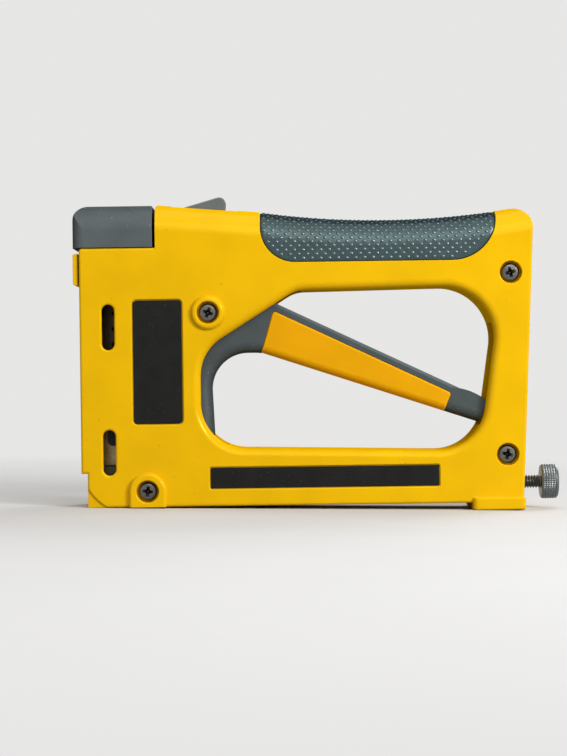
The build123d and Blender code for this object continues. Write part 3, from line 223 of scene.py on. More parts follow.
def moulded_plastic(name, colour, roughness, top_highlight=0.0):
    """Fine-grained moulded plastic, paler on its edges and, by the given share, on faces that look
    upward: both painted highlights.
    """
    material, tree, surface = new_surface(name)
    place = object_place(tree)
    normal = rounded_normal(tree, 0.35)
    pale = shade(colour, 2.6)
    skin = mix_colour(tree, patches(tree, place, 11.0, 4.0), shade(colour, 0.9), shade(colour, 1.1))
    # Paler edges: a painted highlight.
    edge_highlight = patches(tree, place, 2.5, 3.0, to=(0.35, 0.8))
    skin = mix_colour(tree, along_edges(tree, normal, edge_highlight), skin, pale)
    # Upward faces paler: a painted highlight from above, showing as a light line on the top edge.
    if top_highlight:
        upward = height_of(tree, add_node(tree, "ShaderNodeTexCoord").outputs["Normal"])
        skin = mix_colour(tree, ramp(tree, upward, (0.1, 0.75), (0.0, top_highlight)), skin, pale)
    dust = patches(tree, place, 0.5, 0.0, (0.79, 0.82), (0.0, 0.3))
    skin = mix_colour(tree, dust, skin, DUST)
    fine = noise(tree, place, 0.35, 3.0)
    spread = ramp(tree, fine, MIDDLE, (roughness - 0.06, roughness + 0.08))
    lay_on(tree, surface, skin, spread, bump(tree, fine, 0.025, normal))
    gloss(tree, surface, 0.3)
    return material


def satin_enamel(name, colour):
    """The lever's coloured core: smooth moulded plastic with a soft cloudiness and a painted highlight
    along its edges.
    """
    material, tree, surface = new_surface(name)
    place = object_place(tree)
    skin = mix_colour(tree, patches(tree, place, 14.0, 3.0), shade(colour, 0.95), shade(colour, 1.05))
    # Brighter orange along the edges: a painted highlight.
    rim_highlight = along_edges(tree, rounded_normal(tree, 1.6), 0.6)
    skin = mix_colour(tree, rim_highlight, skin, CORE_RIM_HIGHLIGHT)
    scuff = patches(tree, place, 0.7, 1.0, (0.8, 0.82), (0.0, 0.5))
    skin = mix_colour(tree, scuff, skin, SCUFF)
    roughness = patches(tree, place, 3.0, 4.0, to=(0.34, 0.46))
    relief = bump(tree, noise(tree, place, 0.6, 2.0), 0.012, rounded_normal(tree, 0.4))
    lay_on(tree, surface, skin, roughness, relief)
    gloss(tree, surface, 0.25)
    surface.inputs["Specular Tint"].default_value = (1.0, 0.75, 0.2, 1.0)
    return material


def grip_rubber(name, colour, roughness, coat):
    """Dark moulded rubber with a greenish cast, a slight bloom and a fine tooth."""
    material, tree, surface = new_surface(name)
    place = object_place(tree)
    skin = mix_colour(tree, patches(tree, place, 9.0, 4.0), shade(colour, 0.85), shade(colour, 1.15))
    bloom = patches(tree, place, 1.6, 3.0, (0.55, 0.8), (0.0, 0.22))
    skin = mix_colour(tree, bloom, skin, BLOOM)
    tooth = noise(tree, place, 0.25, 2.0)
    spread = ramp(tree, tooth, MIDDLE, (roughness - 0.06, roughness + 0.08))
    lay_on(tree, surface, skin, spread, bump(tree, tooth, 0.012, rounded_normal(tree, 0.2)))
    gloss(tree, surface, 0.75, coat)
    surface.inputs["Specular Tint"].default_value = (0.72, 0.98, 1.0, 1.0)
    surface.inputs["Coat Roughness"].default_value = 0.2
    return material


def label_film(name, colour):
    """Bare black label film: satin, with faint specks and a slightly paler cut edge."""
    material, tree, surface = new_surface(name)
    place = object_place(tree)
    normal = rounded_normal(tree, 0.15)
    film = mix_colour(tree, patches(tree, place, 6.0, 4.0), shade(colour, 0.85), shade(colour, 1.2))
    speck = patches(tree, place, 0.45, 0.0, (0.84, 0.86), (0.0, 0.2))
    film = mix_colour(tree, speck, film, SPECK)
    film = mix_colour(tree, along_edges(tree, normal, 0.5), film, shade(colour, 3.5))
    roughness = patches(tree, place, 1.2, 3.0, to=(0.42, 0.55))
    lay_on(tree, surface, film, roughness, bump(tree, noise(tree, place, 0.3, 2.0), 0.006, normal))
    gloss(tree, surface, 0.1)
    return material


def worked_steel(name, colour, roughness, stretch, hollow_mm=1.0, shaded_above=None):
    """Drawn or turned steel: streaks along its working direction, near black in the hollows as painted
    shade with grime, bright on edges.

    Where a height is given, it is darkened from there up as painted shade."""
    material, tree, surface = new_surface(name)
    place = object_place(tree)
    normal = rounded_normal(tree, 0.12)
    tarnish = patches(tree, place, 3.0, 4.0, (0.35, 0.7))
    metal = mix_colour(tree, tarnish, shade(colour, 1.1), shade(colour, 0.78))
    metal = mix_colour(tree, along_edges(tree, normal, 0.6), metal, shade(colour, 1.7))
    # Hollows darkened to near black by occlusion: painted shade, with grime.
    open_sky = add_node(tree, "ShaderNodeAmbientOcclusion", {"Distance": hollow_mm * MM},
                        samples=EDGE_SAMPLES, only_local=True)
    grime_and_shade = ramp(tree, open_sky.outputs["AO"], (0.3, 0.75), (0.95, 0.0))
    metal = mix_colour(tree, grime_and_shade, metal, GRIME_AND_SHADE)
    # Darker from the given height up: painted shade.
    if shaded_above is not None:
        fade = (shaded_above - 3 * MM, shaded_above + 3 * MM)
        metal = mix_colour(tree, ramp(tree, height_of(tree, place), fade, (0.0, 0.96)), metal, UPPER_SHADE)
    streak = noise(tree, place, 0.35, 3.0, stretch)
    spread = ramp(tree, streak, MIDDLE, (roughness - 0.07, roughness + 0.1))
    lay_on(tree, surface, metal, spread, bump(tree, streak, 0.006, normal))
    surface.inputs["Metallic"].default_value = 1.0
    return material


# Mesh helpers


def dress(nodes, material):
    """Give CAD nodes a finish."""
    for node in nodes:
        slots = NODES[node].data.materials
        slots.clear()
        slots.append(material)


def new_piece(name, mesh, material, body, smooth_angle=35.0):
    """Link a finished mesh as a piece that rides on a body."""
    piece = bpy.data.objects.new(name, mesh)
    bpy.context.scene.collection.objects.link(piece)
    mesh.materials.append(material)
    mesh.shade_smooth()
    mesh.set_sharp_from_angle(angle=math.radians(smooth_angle))
    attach(piece, body)
    return piece


def mesh_from(bm, name):
    """Turn a finished bmesh into a mesh with its faces outward."""
    bmesh.ops.recalc_face_normals(bm, faces=bm.faces)
    mesh = bpy.data.meshes.new(name)
    bm.to_mesh(mesh)
    bm.free()
    return mesh


def ring(bm, centre, side, other, radii):
    """Vertices evenly round a centre, from one way towards another, one at each radius."""
    verts = []
    for k, radius in enumerate(radii):
        angle = 2 * math.pi * k / len(radii)
        way = side * math.cos(angle) + other * math.sin(angle)
        verts.append(bm.verts.new(centre + way * radius))
    return verts


def skin_rings(bm, rings):
    """Faces between successive rings of vertices, with a cap on each end."""
    for first, second in zip(rings, rings[1:]):
        count = len(first)
        for k in range(count):
            after = (k + 1) % count
            bm.faces.new((first[k], first[after], second[after], second[k]))
    bm.faces.new(rings[0])
    bm.faces.new(rings[-1])


def ways_about(axis):
    """The way along an axis and two ways square to it."""
    along = Vector(axis).normalized()
    side = along.orthogonal().normalized()
    return along, side, along.cross(side)


def quarter_turns(steps):
    """Angles of the even steps of a quarter turn, both ends included."""
    return [math.pi / 2 * k / steps for k in range(steps + 1)]


def turned(bm, profile, axis, origin, segments):
    """A turned solid: profile points are (distance along the axis, radius)."""
    along, side, other = ways_about(axis)
    skin_rings(bm, [ring(bm, origin + along * distance, side, other, [radius] * segments)
                    for distance, radius in profile])


def coil_mesh(name, start, axis, radius, wire, turns, length):
    """Wire wound into a helix along an axis, from start."""
    along, side, other = ways_about(axis)
    bm = bmesh.new()
    rings = []
    steps = int(turns * COIL_STEPS)
    for step in range(steps + 1):
        angle = 2 * math.pi * step / COIL_STEPS
        out = side * math.cos(angle) + other * math.sin(angle)
        centre = start + out * radius + along * (length * step / steps)
        rings.append(ring(bm, centre, out, along, [wire / 2] * WIRE_SIDES))
    skin_rings(bm, rings)
    return mesh_from(bm, name)


def ray_tree(node):
    """Ray-cast tree of a CAD node's own mesh."""
    mesh = NODES[node].data
    return BVHTree.FromPolygons([v.co for v in mesh.vertices], [p.vertices for p in mesh.polygons])


def sides_of(loop):
    """The sides of a closed loop, as pairs of points."""
    return zip(loop, loop[1:] + loop[:1])


# Sizes and colours that a user would change


class PointDriverFinish(bpy.types.PropertyGroup):
    """Colours of the tool's finishes."""

    paint: bpy.props.FloatVectorProperty(
        name="Housing paint", description="Enamel of the housing", subtype="COLOR", size=3,
        default=(0.768, 0.434, 0.0010), min=0, max=1)
    core: bpy.props.FloatVectorProperty(
        name="Lever core", description="Coloured middle of the lever", subtype="COLOR", size=3,
        default=(0.715, 0.328, 0.0015), min=0, max=1)
    plastic: bpy.props.FloatVectorProperty(
        name="Dark plastic", description="Lever and, much darker, the follower", subtype="COLOR", size=3,
        default=(0.046, 0.060, 0.062), min=0, max=1)
    cap: bpy.props.FloatVectorProperty(
        name="Cap plastic", description="Cap of the magazine", subtype="COLOR", size=3,
        default=(0.074, 0.090, 0.094), min=0, max=1)
    rubber: bpy.props.FloatVectorProperty(
        name="Grip rubber", description="Pad on the handle", subtype="COLOR", size=3,
        default=(0.017, 0.034, 0.037), min=0, max=1)
    label: bpy.props.FloatVectorProperty(
        name="Label film", description="Bare labels", subtype="COLOR", size=3,
        default=(0.010, 0.010, 0.0095), min=0, max=1)
    slide: bpy.props.FloatVectorProperty(
        name="Slide plastic", description="Thumb slide", subtype="COLOR", size=3,
        default=(0.102, 0.120, 0.123), min=0, max=1)
    screw_steel: bpy.props.FloatVectorProperty(
        name="Screw steel", description="Case screws", subtype="COLOR", size=3,
        default=(0.13, 0.13, 0.125), min=0, max=1)
    bright_steel: bpy.props.FloatVectorProperty(
        name="Plain steel", description="Striker, springs and inner pieces", subtype="COLOR", size=3,
        default=(0.26, 0.26, 0.265), min=0, max=1)
    dark_steel: bpy.props.FloatVectorProperty(
        name="Dark steel", description="Thumbscrew", subtype="COLOR", size=3,
        default=(0.15, 0.168, 0.175), min=0, max=1)
    # The track steel is a darkened copy of plain steel: painted shade.
    track_steel: bpy.props.FloatVectorProperty(
        name="Track steel", description="Oiled track of the striker", subtype="COLOR", size=3,
        default=(0.060, 0.057, 0.034), min=0, max=1)
    # The liner's warm tint is painted yellow bounce light.
    liner_steel: bpy.props.FloatVectorProperty(
        name="Liner steel", description="Passivated sheet behind the sight windows",
        subtype="COLOR", size=3, default=(0.92, 0.77, 0.43), min=0, max=1)


class PointDriverSizes(bpy.types.PropertyGroup):
    """Sizes of the fine detail, in metres."""

    pip_pitch: bpy.props.FloatProperty(
        name="Pip pitch", description="Distance between pips along a row of the grip",
        default=3.37 * MM, unit="LENGTH")
    pip_row: bpy.props.FloatProperty(
        name="Pip rows", description="Distance between rows of pips, round the handle",
        default=1.6 * MM, unit="LENGTH")
    pip_radius: bpy.props.FloatProperty(
        name="Pip radius", description="Radius of one pip", default=0.76 * MM, unit="LENGTH")
    pip_start: bpy.props.FloatProperty(
        name="First pip", description="From the pad's front end to the first pip of its lowest row",
        default=3.06 * MM, unit="LENGTH")
    pip_margin: bpy.props.FloatProperty(
        name="Pip margin", description="From the pad's lower edge to the lowest row of pips",
        default=1.42 * MM, unit="LENGTH")
    pip_height: bpy.props.FloatProperty(
        name="Pip height", description="Height of one pip", default=0.25 * MM, unit="LENGTH")
    pad_round: bpy.props.FloatProperty(
        name="Pad edge", description="Width of the pad's rounded border",
        default=1.5 * MM, unit="LENGTH")
    pad_sink: bpy.props.FloatProperty(
        name="Pad edge drop", description="How far the pad's border drops into its seat",
        default=0.65 * MM, unit="LENGTH")
    thread_pitch: bpy.props.FloatProperty(
        name="Thread pitch", description="Pitch of the tension screw", default=1.058 * MM, unit="LENGTH")
    thread_depth: bpy.props.FloatProperty(
        name="Thread depth", description="Depth of the tension screw's thread",
        default=0.6 * MM, unit="LENGTH")
    knurl_pitch: bpy.props.FloatProperty(
        name="Knurl pitch", description="Distance between the knob's ridges",
        default=0.8 * MM, unit="LENGTH")
    knurl_rings: bpy.props.FloatProperty(
        name="Knurl rings", description="Distance between the rings cut across the ridges",
        default=0.95 * MM, unit="LENGTH")
    knurl_depth: bpy.props.FloatProperty(
        name="Knurl depth", description="Depth of the knob's grooves", default=0.3 * MM, unit="LENGTH")


class PointDriverView(bpy.types.PropertyGroup):
    """Camera and light."""

    distance: bpy.props.FloatProperty(
        name="Camera distance", description="From the camera to the tool's near face",
        default=0.8, unit="LENGTH")
    frame_height: bpy.props.FloatProperty(
        name="Frame height", description="Height of the picture at the near face",
        default=0.2911, unit="LENGTH")
    roll: bpy.props.FloatProperty(
        name="Roll", description="How far the tool appears turned in the picture",
        default=math.radians(0.77), subtype="ANGLE")
    key_power: bpy.props.FloatProperty(
        name="Key light", description="Power of the key light", default=6.6)
    front_power: bpy.props.FloatProperty(
        name="Front light", description="Power of the wide light before the tool", default=5.6)
    fill_power: bpy.props.FloatProperty(
        name="Fill light", description="Power of the fill light", default=0.6)
    top_power: bpy.props.FloatProperty(
        name="Top light", description="Power of the light above", default=4.5)
    rear_power: bpy.props.FloatProperty(
        name="Rear light", description="Power of the light behind the tool", default=7.0)
    ambient: bpy.props.FloatProperty(
        name="Ambient", description="Light from all round", default=0.33)


GROUPS = {"point_driver_finish": PointDriverFinish, "point_driver_sizes": PointDriverSizes,
          "point_driver_view": PointDriverView}


# Operators


class POINT_DRIVER_OT_housing(bpy.types.Operator):
    """Paint the housing halves and the nose plate"""

    bl_idname = "point_driver.housing"
    bl_label = "Housing"

    def execute(self, context):
        paint = cast_paint("housing_paint", context.scene.point_driver_finish.paint)
        dress(("left_housing", "right_housing", "nose_plate"), paint)
        return {"FINISHED"}


class POINT_DRIVER_OT_labels(bpy.types.Operator):
    """Finish the bare labels"""

    bl_idname = "point_driver.labels"
    bl_label = "Labels"

    def execute(self, context):
        film = label_film("label_film", context.scene.point_driver_finish.label)
        dress(("points_label", "base_label"), film)
        return {"FINISHED"}


class POINT_DRIVER_OT_plastics(bpy.types.Operator):
    """Finish the lever, its core, the cap, the thumb slide and the follower"""

    bl_idname = "point_driver.plastics"
    bl_label = "Plastic pieces"

    def execute(self, context):
        finish = context.scene.point_driver_finish
        black = shade(finish.plastic, 0.15)
        dress(("lever",), moulded_plastic("dark_plastic", finish.plastic, 0.5, top_highlight=0.7))
        dress(("follower",), moulded_plastic("black_plastic", black, 0.5))
        dress(("thumb_slide",), moulded_plastic("slide_plastic", finish.slide, 0.5, top_highlight=0.8))
        dress(("magazine_cap",), moulded_plastic("cap_plastic", finish.cap, 0.48))
        dress(("lever_core",), satin_enamel("core_enamel", finish.core))
        return {"FINISHED"}


class POINT_DRIVER_OT_mechanism(bpy.types.Operator):
    """Finish the steel pieces inside"""

    bl_idname = "point_driver.mechanism"
    bl_label = "Mechanism"

    def execute(self, context):
        finish = context.scene.point_driver_finish
        drawn = worked_steel("drawn_steel", finish.bright_steel, 0.34, LENGTHWISE)
        folded = worked_steel("folded_steel", finish.bright_steel, 0.36, UPRIGHT)
        # A darker steel for the track: painted shade.
        shaded_track = worked_steel("track_steel", finish.track_steel, 0.4, LENGTHWISE)
        dress(("driver_track",), shaded_track)
        dress(("striker_blade", "striker_block", "tension_seat", "tension_nut"), drawn)
        dress(("magazine_guide", "spring_rod", "lever_bushing", "lever_return_spring"), folded)
        return {"FINISHED"}


class POINT_DRIVER_OT_liner(bpy.types.Operator):
    """Fold the sheet that closes the sight windows on the far side, standing in for the shade inside
    them
    """

    bl_idname = "point_driver.liner"
    bl_label = "Window liner"

    SHEET = 0.5 * MM
    BEND = 1.0 * MM
    BEND_STEPS = 4
    REACH = 1.2 * MM
    WALL_FACE = 11.45 * MM
    FRONT, REAR = -85.6 * MM, -75.2 * MM
    FOOT, HEAD = 14.0 * MM, 82.6 * MM
    END = 0.2 * MM
    # Height from which the liner is darkened as painted shade.
    SHADED_ABOVE = 45.0 * MM

    def section(self, offset):
        """One face of the sheet, seen from above, from its front lip round the web to its rear lip."""
        points = []
        bend = self.BEND - offset
        web = self.WALL_FACE - self.REACH
        for x, way in ((self.FRONT + self.BEND, -1), (self.REAR - self.BEND, 1)):
            side = [(x + way * bend, self.WALL_FACE)]
            for turn in quarter_turns(self.BEND_STEPS):
                side.append((x + way * bend * math.cos(turn), web + self.BEND - bend * math.sin(turn)))
            points += side if way < 0 else side[::-1]
        return points

    def execute(self, context):
        bm = bmesh.new()
        outline = self.section(0.0) + self.section(self.SHEET)[::-1]
        levels = (self.FOOT, self.FOOT + self.END, self.HEAD - self.END, self.HEAD)
        skin_rings(bm, [[bm.verts.new((x, y, z)) for x, y in outline] for z in levels])
        # Warm tint: painted bounce light.
        colour = context.scene.point_driver_finish.liner_steel
        steel = worked_steel("liner_steel", colour, 0.34, UPRIGHT, shaded_above=self.SHADED_ABOVE)
        new_piece("window_liner", mesh_from(bm, "window_liner"), steel, "housing")
        return {"FINISHED"}


class POINT_DRIVER_OT_springs(bpy.types.Operator):
    """Wind the drive spring and the follower spring"""

    bl_idname = "point_driver.springs"
    bl_label = "Springs"

    DRIVE_WIRE, DRIVE_TURNS, FRONT_TURNS = 1.6 * MM, 14, 10
    FOLLOWER_WIRE, FOLLOWER_TURNS = 0.9 * MM, 12

    def wind(self, name, node, body, axis, wire, turns, runs, steel):
        """Coil in place of a node, in runs (suffix, first turn, last turn, joint, held end); joint and
        held end are not used.

        Each run takes its share of the coil's length by its turns."""
        low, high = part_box(node)
        along = Vector(axis)
        length = (high - low).dot(along) - wire
        radius = (high.y - low.y - wire) / 2
        start = (low + high) / 2 - along * length / 2
        for suffix, first, last, joint, held in runs:
            run = length * (last - first) / turns
            begin = start + along * (length * first / turns)
            mesh = coil_mesh(name + suffix, begin, along, radius, wire, last - first, run)
            piece = new_piece(name + suffix, mesh, steel, body)
            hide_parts(node)
            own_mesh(piece)

    def execute(self, context):
        colour = shade(context.scene.point_driver_finish.bright_steel, 0.75)
        steel = worked_steel("spring_wire", colour, 0.3, EVEN)
        front = ("", 0, self.FRONT_TURNS, "striker_draw", 1)
        rear = ("_rear", self.FRONT_TURNS, self.DRIVE_TURNS, "tension_travel", 0)
        self.wind("drive_coil", "drive_spring", "housing", (1, 0, 0),
                  self.DRIVE_WIRE, self.DRIVE_TURNS, (front, rear), steel)
        whole = ("", 0, self.FOLLOWER_TURNS, "follower_rise", 1)
        self.wind("follower_coil", "follower_spring", "cap", (0, 0, 1),
                  self.FOLLOWER_WIRE, self.FOLLOWER_TURNS, (whole,), steel)
        return {"FINISHED"}


class POINT_DRIVER_OT_screws(bpy.types.Operator):
    """Turn the four cross-slotted case screws"""

    bl_idname = "point_driver.screws"
    bl_label = "Case screws"

    ANGLES = {"case_screw_1": 20, "case_screw_2": 8, "case_screw_3": -14, "case_screw_4": 12}
    CENTRE_RING = 0.02 * MM
    HALF_CROWN, CROWN = 0.06 * MM, 0.2 * MM
    ROUND = 1.1 * MM
    HEAD = 2.2 * MM
    SHANK = 2.0 * MM
    POINT, POINT_SHARE = 1.0 * MM, 0.6
    SIDES = 48
    # Depth, reach and half width of the cross, in millimetres
    RECESS = ((-1.0, 2.05, 0.55), (0.35, 2.05, 0.55), (1.9, 0.3, 0.12))
    WAIST = 1.25

    def head_mesh(self, name, low, high, angle):
        """A round-crowned screw with its recess cut."""
        centre = (low + high) / 2
        radius = (high.x - low.x) / 2
        length = high.y - low.y
        face = Vector((centre.x, low.y, centre.z))
        flat = radius - self.ROUND
        profile = [(0.0, self.CENTRE_RING), (self.HALF_CROWN, 0.5 * flat)]
        for turn in quarter_turns(ROUND_STEPS):
            drop = self.CROWN + self.ROUND * (1 - math.cos(turn))
            profile.append((drop, radius - self.ROUND * (1 - math.sin(turn))))
        profile += [(self.HEAD, radius), (self.HEAD, self.SHANK), (length - self.POINT, self.SHANK),
                    (length, self.POINT_SHARE * self.SHANK)]
        bm = bmesh.new()
        turned(bm, profile, (0, 1, 0), face, self.SIDES)
        head = bpy.data.objects.new(name + "_blank", mesh_from(bm, name + "_blank"))
        cutter = bpy.data.objects.new(name + "_recess", self.recess_mesh(name, face, angle))
        for piece in (head, cutter):
            bpy.context.scene.collection.objects.link(piece)
        cut = head.modifiers.new("recess", "BOOLEAN")
        cut.object, cut.operation, cut.solver = cutter, "DIFFERENCE", "EXACT"
        graph = bpy.context.evaluated_depsgraph_get()
        mesh = bpy.data.meshes.new_from_object(head.evaluated_get(graph))
        mesh.name = name
        for piece in (head, cutter):
            bpy.data.objects.remove(piece)
        return mesh

    def recess_mesh(self, name, face, angle):
        """Cross recess that narrows downwards, sunk from the head's face."""
        bm = bmesh.new()
        turn_in_head = Matrix.Rotation(math.radians(angle), 3, "Y")
        rings = []
        for depth, reach, half in self.RECESS:
            waist = half * self.WAIST
            arm = [(reach, -half), (reach, half), (waist, waist)]
            verts = []
            for quarter in range(4):
                spin = Matrix.Rotation(math.pi / 2 * quarter, 2)
                for corner in arm:
                    flat = spin @ Vector(corner)
                    sunk = turn_in_head @ Vector((flat.x, depth, flat.y))
                    verts.append(bm.verts.new(face + sunk * MM))
            rings.append(verts)
        skin_rings(bm, rings)
        return mesh_from(bm, name + "_recess")

    def execute(self, context):
        colour = context.scene.point_driver_finish.screw_steel
        steel = worked_steel("screw_steel", colour, 0.32, EVEN, hollow_mm=2.0)
        for node, angle in self.ANGLES.items():
            low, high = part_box(node)
            name = node + "_turned"
            mesh = self.head_mesh(name, low, high, angle)
            piece = new_piece(name, mesh, steel, "housing")
            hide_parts(node)
        return {"FINISHED"}


class POINT_DRIVER_OT_thumbscrew(bpy.types.Operator):
    """Cut the tension screw's thread and knurl its knob"""

    bl_idname = "point_driver.thumbscrew"
    bl_label = "Tension screw"

    KNOB_LENGTH = 6.75 * MM
    NECK_LENGTH, NECK_ROOT, NECK_SHARE = 0.4 * MM, 1.0 * MM, 0.82
    SHANK_RADIUS = 2.6 * MM
    SHANK_SIDES = 36
    THREAD_STEPS = 8
    FLANK, ROOT_FLAT = 2.6, 0.15
    RIDGE_STEPS = 4
    INNER_EDGE, OUTER_ROUND = 0.35 * MM, 1.5 * MM
    HUB_DROP, RIM_DROP = 1.6 * MM, 0.5 * MM
    DISH_DEPTH, DISH_DROP = 0.25 * MM, 2.6 * MM
    SMOOTH_ANGLE = 28.0

    def rings_along(self, bm, stations, axis_z):
        """Skin rings about the screw's axis, each given as its place along x and its radii."""
        side, other = Vector((0, 1, 0)), Vector((0, 0, 1))
        skin_rings(bm, [ring(bm, Vector((x, 0, axis_z)), side, other, radii) for x, radii in stations])

    def cut_thread(self, bm, start, end, axis_z, sizes):
        """The threaded shank, each radius read off the thread's form."""
        pitch = sizes.thread_pitch
        count = int((end - start) / pitch * self.THREAD_STEPS)
        stations = []
        for step in range(count + 1):
            x = start + (end - start) * step / count
            lead = min(1.0, (x - start) / pitch)
            radii = []
            for k in range(self.SHANK_SIDES):
                phase = (x / pitch - k / self.SHANK_SIDES) % 1.0
                crest = min(1.0, max(0.0, self.FLANK * abs(phase - 0.5) - self.ROOT_FLAT))
                radii.append(self.SHANK_RADIUS - sizes.thread_depth * (1 - crest * lead))
            stations.append((x, radii))
        self.rings_along(bm, stations, axis_z)

    def knurl_knob(self, bm, start, end, axis_z, radius, sizes):
        """The knob: flat inner face, square knurl, rounded outer edge and dished end."""
        steps = self.RIDGE_STEPS
        around = round(2 * math.pi * radius / sizes.knurl_pitch) * steps
        band = end - start - self.INNER_EDGE - self.OUTER_ROUND
        rows = round(band / sizes.knurl_rings) * steps
        plain = [(start, radius - self.HUB_DROP), (start, radius - self.RIM_DROP)]
        stations = [(x, [r] * around) for x, r in plain]
        rises = [math.sin(math.pi * k / steps) for k in range(steps)]
        for row in range(rows + 1):
            crest = rises[row % steps]
            radii = [radius - sizes.knurl_depth * (1 - crest * rises[k % steps]) for k in range(around)]
            stations.append((start + self.INNER_EDGE + band * row / rows, radii))
        for turn in quarter_turns(ROUND_STEPS)[1:]:
            r = radius - self.OUTER_ROUND * (1 - math.cos(turn))
            stations.append((end - self.OUTER_ROUND + self.OUTER_ROUND * math.sin(turn), [r] * around))
        stations.append((end - self.DISH_DEPTH, [radius - self.DISH_DROP] * around))
        self.rings_along(bm, stations, axis_z)

    def execute(self, context):
        sizes = context.scene.point_driver_sizes
        low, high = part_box("thumbscrew")
        axis_z = (low.z + high.z) / 2
        knob_start = high.x - self.KNOB_LENGTH
        neck_start = knob_start - self.NECK_LENGTH
        neck_radius = self.SHANK_RADIUS * self.NECK_SHARE
        neck = [(0, neck_radius), (self.NECK_LENGTH + self.NECK_ROOT, neck_radius)]
        bm = bmesh.new()
        self.cut_thread(bm, low.x, neck_start, axis_z, sizes)
        turned(bm, neck, (1, 0, 0), Vector((neck_start, 0, axis_z)), self.SHANK_SIDES)
        self.knurl_knob(bm, knob_start, high.x, axis_z, (high.z - low.z) / 2, sizes)
        colour = context.scene.point_driver_finish.dark_steel
        steel = worked_steel("thumbscrew_steel", colour, 0.34, EVEN, hollow_mm=0.6)
        mesh = mesh_from(bm, "thumbscrew_cut")
        piece = new_piece("thumbscrew_cut", mesh, steel, "thumbscrew", self.SMOOTH_ANGLE)
        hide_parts("thumbscrew")
        return {"FINISHED"}


class POINT_DRIVER_OT_grip(bpy.types.Operator):
    """Mould the grip pad with its rounded border and its field of pips"""

    bl_idname = "point_driver.grip"
    bl_label = "Grip pad"

    FRONT_CORNER = 13.5 * MM
    REAR_CORNER = 17.0 * MM
    CORNER_STEPS, RUN_STEPS = 12, 24
    SHOULDER = 10.25 * MM
    SIDE_REACH = 30.0 * MM
    END_CLEAR = 0.05 * MM
    RAY_RISE = 50.0 * MM
    BORDER_STEPS = (0.0, 0.07, 0.2, 0.4, 0.68, 1.0)
    BORDER_SPACING = 1.2 * MM
    MESH_SPACING, MESH_MARGIN = 1.5 * MM, 0.5 * MM
    MERGE = 1e-5
    THICKNESS = 1.0 * MM
    PIP_ROWS = 16
    PIP_SIDES = 10
    PIP_FOOT = 0.05 * MM
    PIP_SHARES = (0.97, 0.78, 0.52, 0.22)
    PIP_SLACK = 0.1 * MM
    SMOOTH_ANGLE = 60.0

    def prepare(self):
        """Read the pad's extents off its CAD node."""
        self.low, self.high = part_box("grip_pad")
        self.tree = ray_tree("grip_pad")
        self.half = self.high.y
        self.flat = self.half - self.SHOULDER
        self.arc = math.pi / 2 * self.SHOULDER

    def top(self, x):
        """Height of the pad's crest at a place along the handle."""
        x = min(max(x, self.low.x + self.END_CLEAR), self.high.x - self.END_CLEAR)
        above = Vector((x, 0, self.high.z + self.RAY_RISE))
        return self.tree.ray_cast(above, Vector((0, 0, -1)))[0].z

    def girth_of(self, x, z):
        """Distance round the handle, from its crest down to a height."""
        centre = self.top(x) - self.SHOULDER
        if z <= centre:
            return self.flat + self.arc + centre - z
        rise = min(1.0, (z - centre) / self.SHOULDER)
        return self.flat + self.SHOULDER * math.acos(rise)

    def place(self, x, girth, rise):
        """Point above the pad's surface and the way outward there."""
        side = 1.0 if girth >= 0 else -1.0
        reach = abs(girth)
        crest = self.top(x)
        centre = crest - self.SHOULDER
        if reach <= self.flat:
            point, out = Vector((x, side * reach, crest)), Vector((0, 0, 1))
        elif reach <= self.flat + self.arc:
            turn = (reach - self.flat) / self.SHOULDER
            out = Vector((0, side * math.sin(turn), math.cos(turn)))
            point = Vector((x, side * self.flat, centre)) + out * self.SHOULDER
        else:
            out = Vector((0, side, 0))
            point = Vector((x, side * self.half, centre - (reach - self.flat - self.arc)))
        return point + out * rise, out

    def outline(self):
        """The pad's border unrolled to (along, round), anticlockwise."""
        front, rear, bottom = self.low.x, self.high.x, self.low.z
        first, last = self.FRONT_CORNER, self.REAR_CORNER
        run = rear - last - front - first
        turns = quarter_turns(self.CORNER_STEPS)
        edge = [(front + first * (1 - math.cos(t)), bottom + first * (1 - math.sin(t))) for t in turns]
        edge += [(front + first + run * k / self.RUN_STEPS, bottom) for k in range(1, self.RUN_STEPS)]
        edge += [(rear - last * (1 - math.sin(t)), bottom + last * (1 - math.cos(t))) for t in turns]
        near = [Vector((x, -self.girth_of(x, z))) for x, z in edge]
        far = [Vector((p.x, -p.y)) for p in reversed(near)]
        return self.even(near + far, self.BORDER_SPACING)

    def even(self, loop, step):
        """The closed loop again, with points an even step apart."""
        points = []
        for first, second in sides_of(loop):
            count = max(1, round((second - first).length / step))
            points += [first.lerp(second, k / count) for k in range(count)]
        return points

    def inset(self, loop, depth):
        """The loop moved inward by a depth."""
        moved = []
        count = len(loop)
        for k in range(count):
            way = loop[(k + 1) % count] - loop[k - 1]
            moved.append(loop[k] + Vector((-way.y, way.x)).normalized() * depth)
        return moved

    def border_distance(self, loop, point):
        """How far a point is from the border."""
        gaps = []
        for first, second in sides_of(loop):
            share = geometry.intersect_point_line(point, first, second)[1]
            gaps.append((point - first.lerp(second, min(1.0, max(0.0, share)))).length)
        return min(gaps)

    def inside(self, loop, point):
        """Whether a point is within the border."""
        crossed = False
        for first, second in sides_of(loop):
            if (first.y > point.y) != (second.y > point.y):
                share = (point.y - first.y) / (second.y - first.y)
                if point.x < first.x + share * (second.x - first.x):
                    crossed = not crossed
        return crossed

    def lattice(self, loop, spacing, margin):
        """Staggered points inside the border, at least the margin away from it."""
        points = []
        rows = int((self.flat + self.arc + self.SIDE_REACH) / spacing)
        count = int((self.high.x - self.low.x) / spacing) + 2
        for row in range(-rows, rows + 1):
            shift = spacing / 2 if row % 2 else 0.0
            for k in range(count):
                point = Vector((self.low.x + shift + k * spacing, row * spacing))
                if self.inside(loop, point) and self.border_distance(loop, point) > margin:
                    points.append(point)
        return points

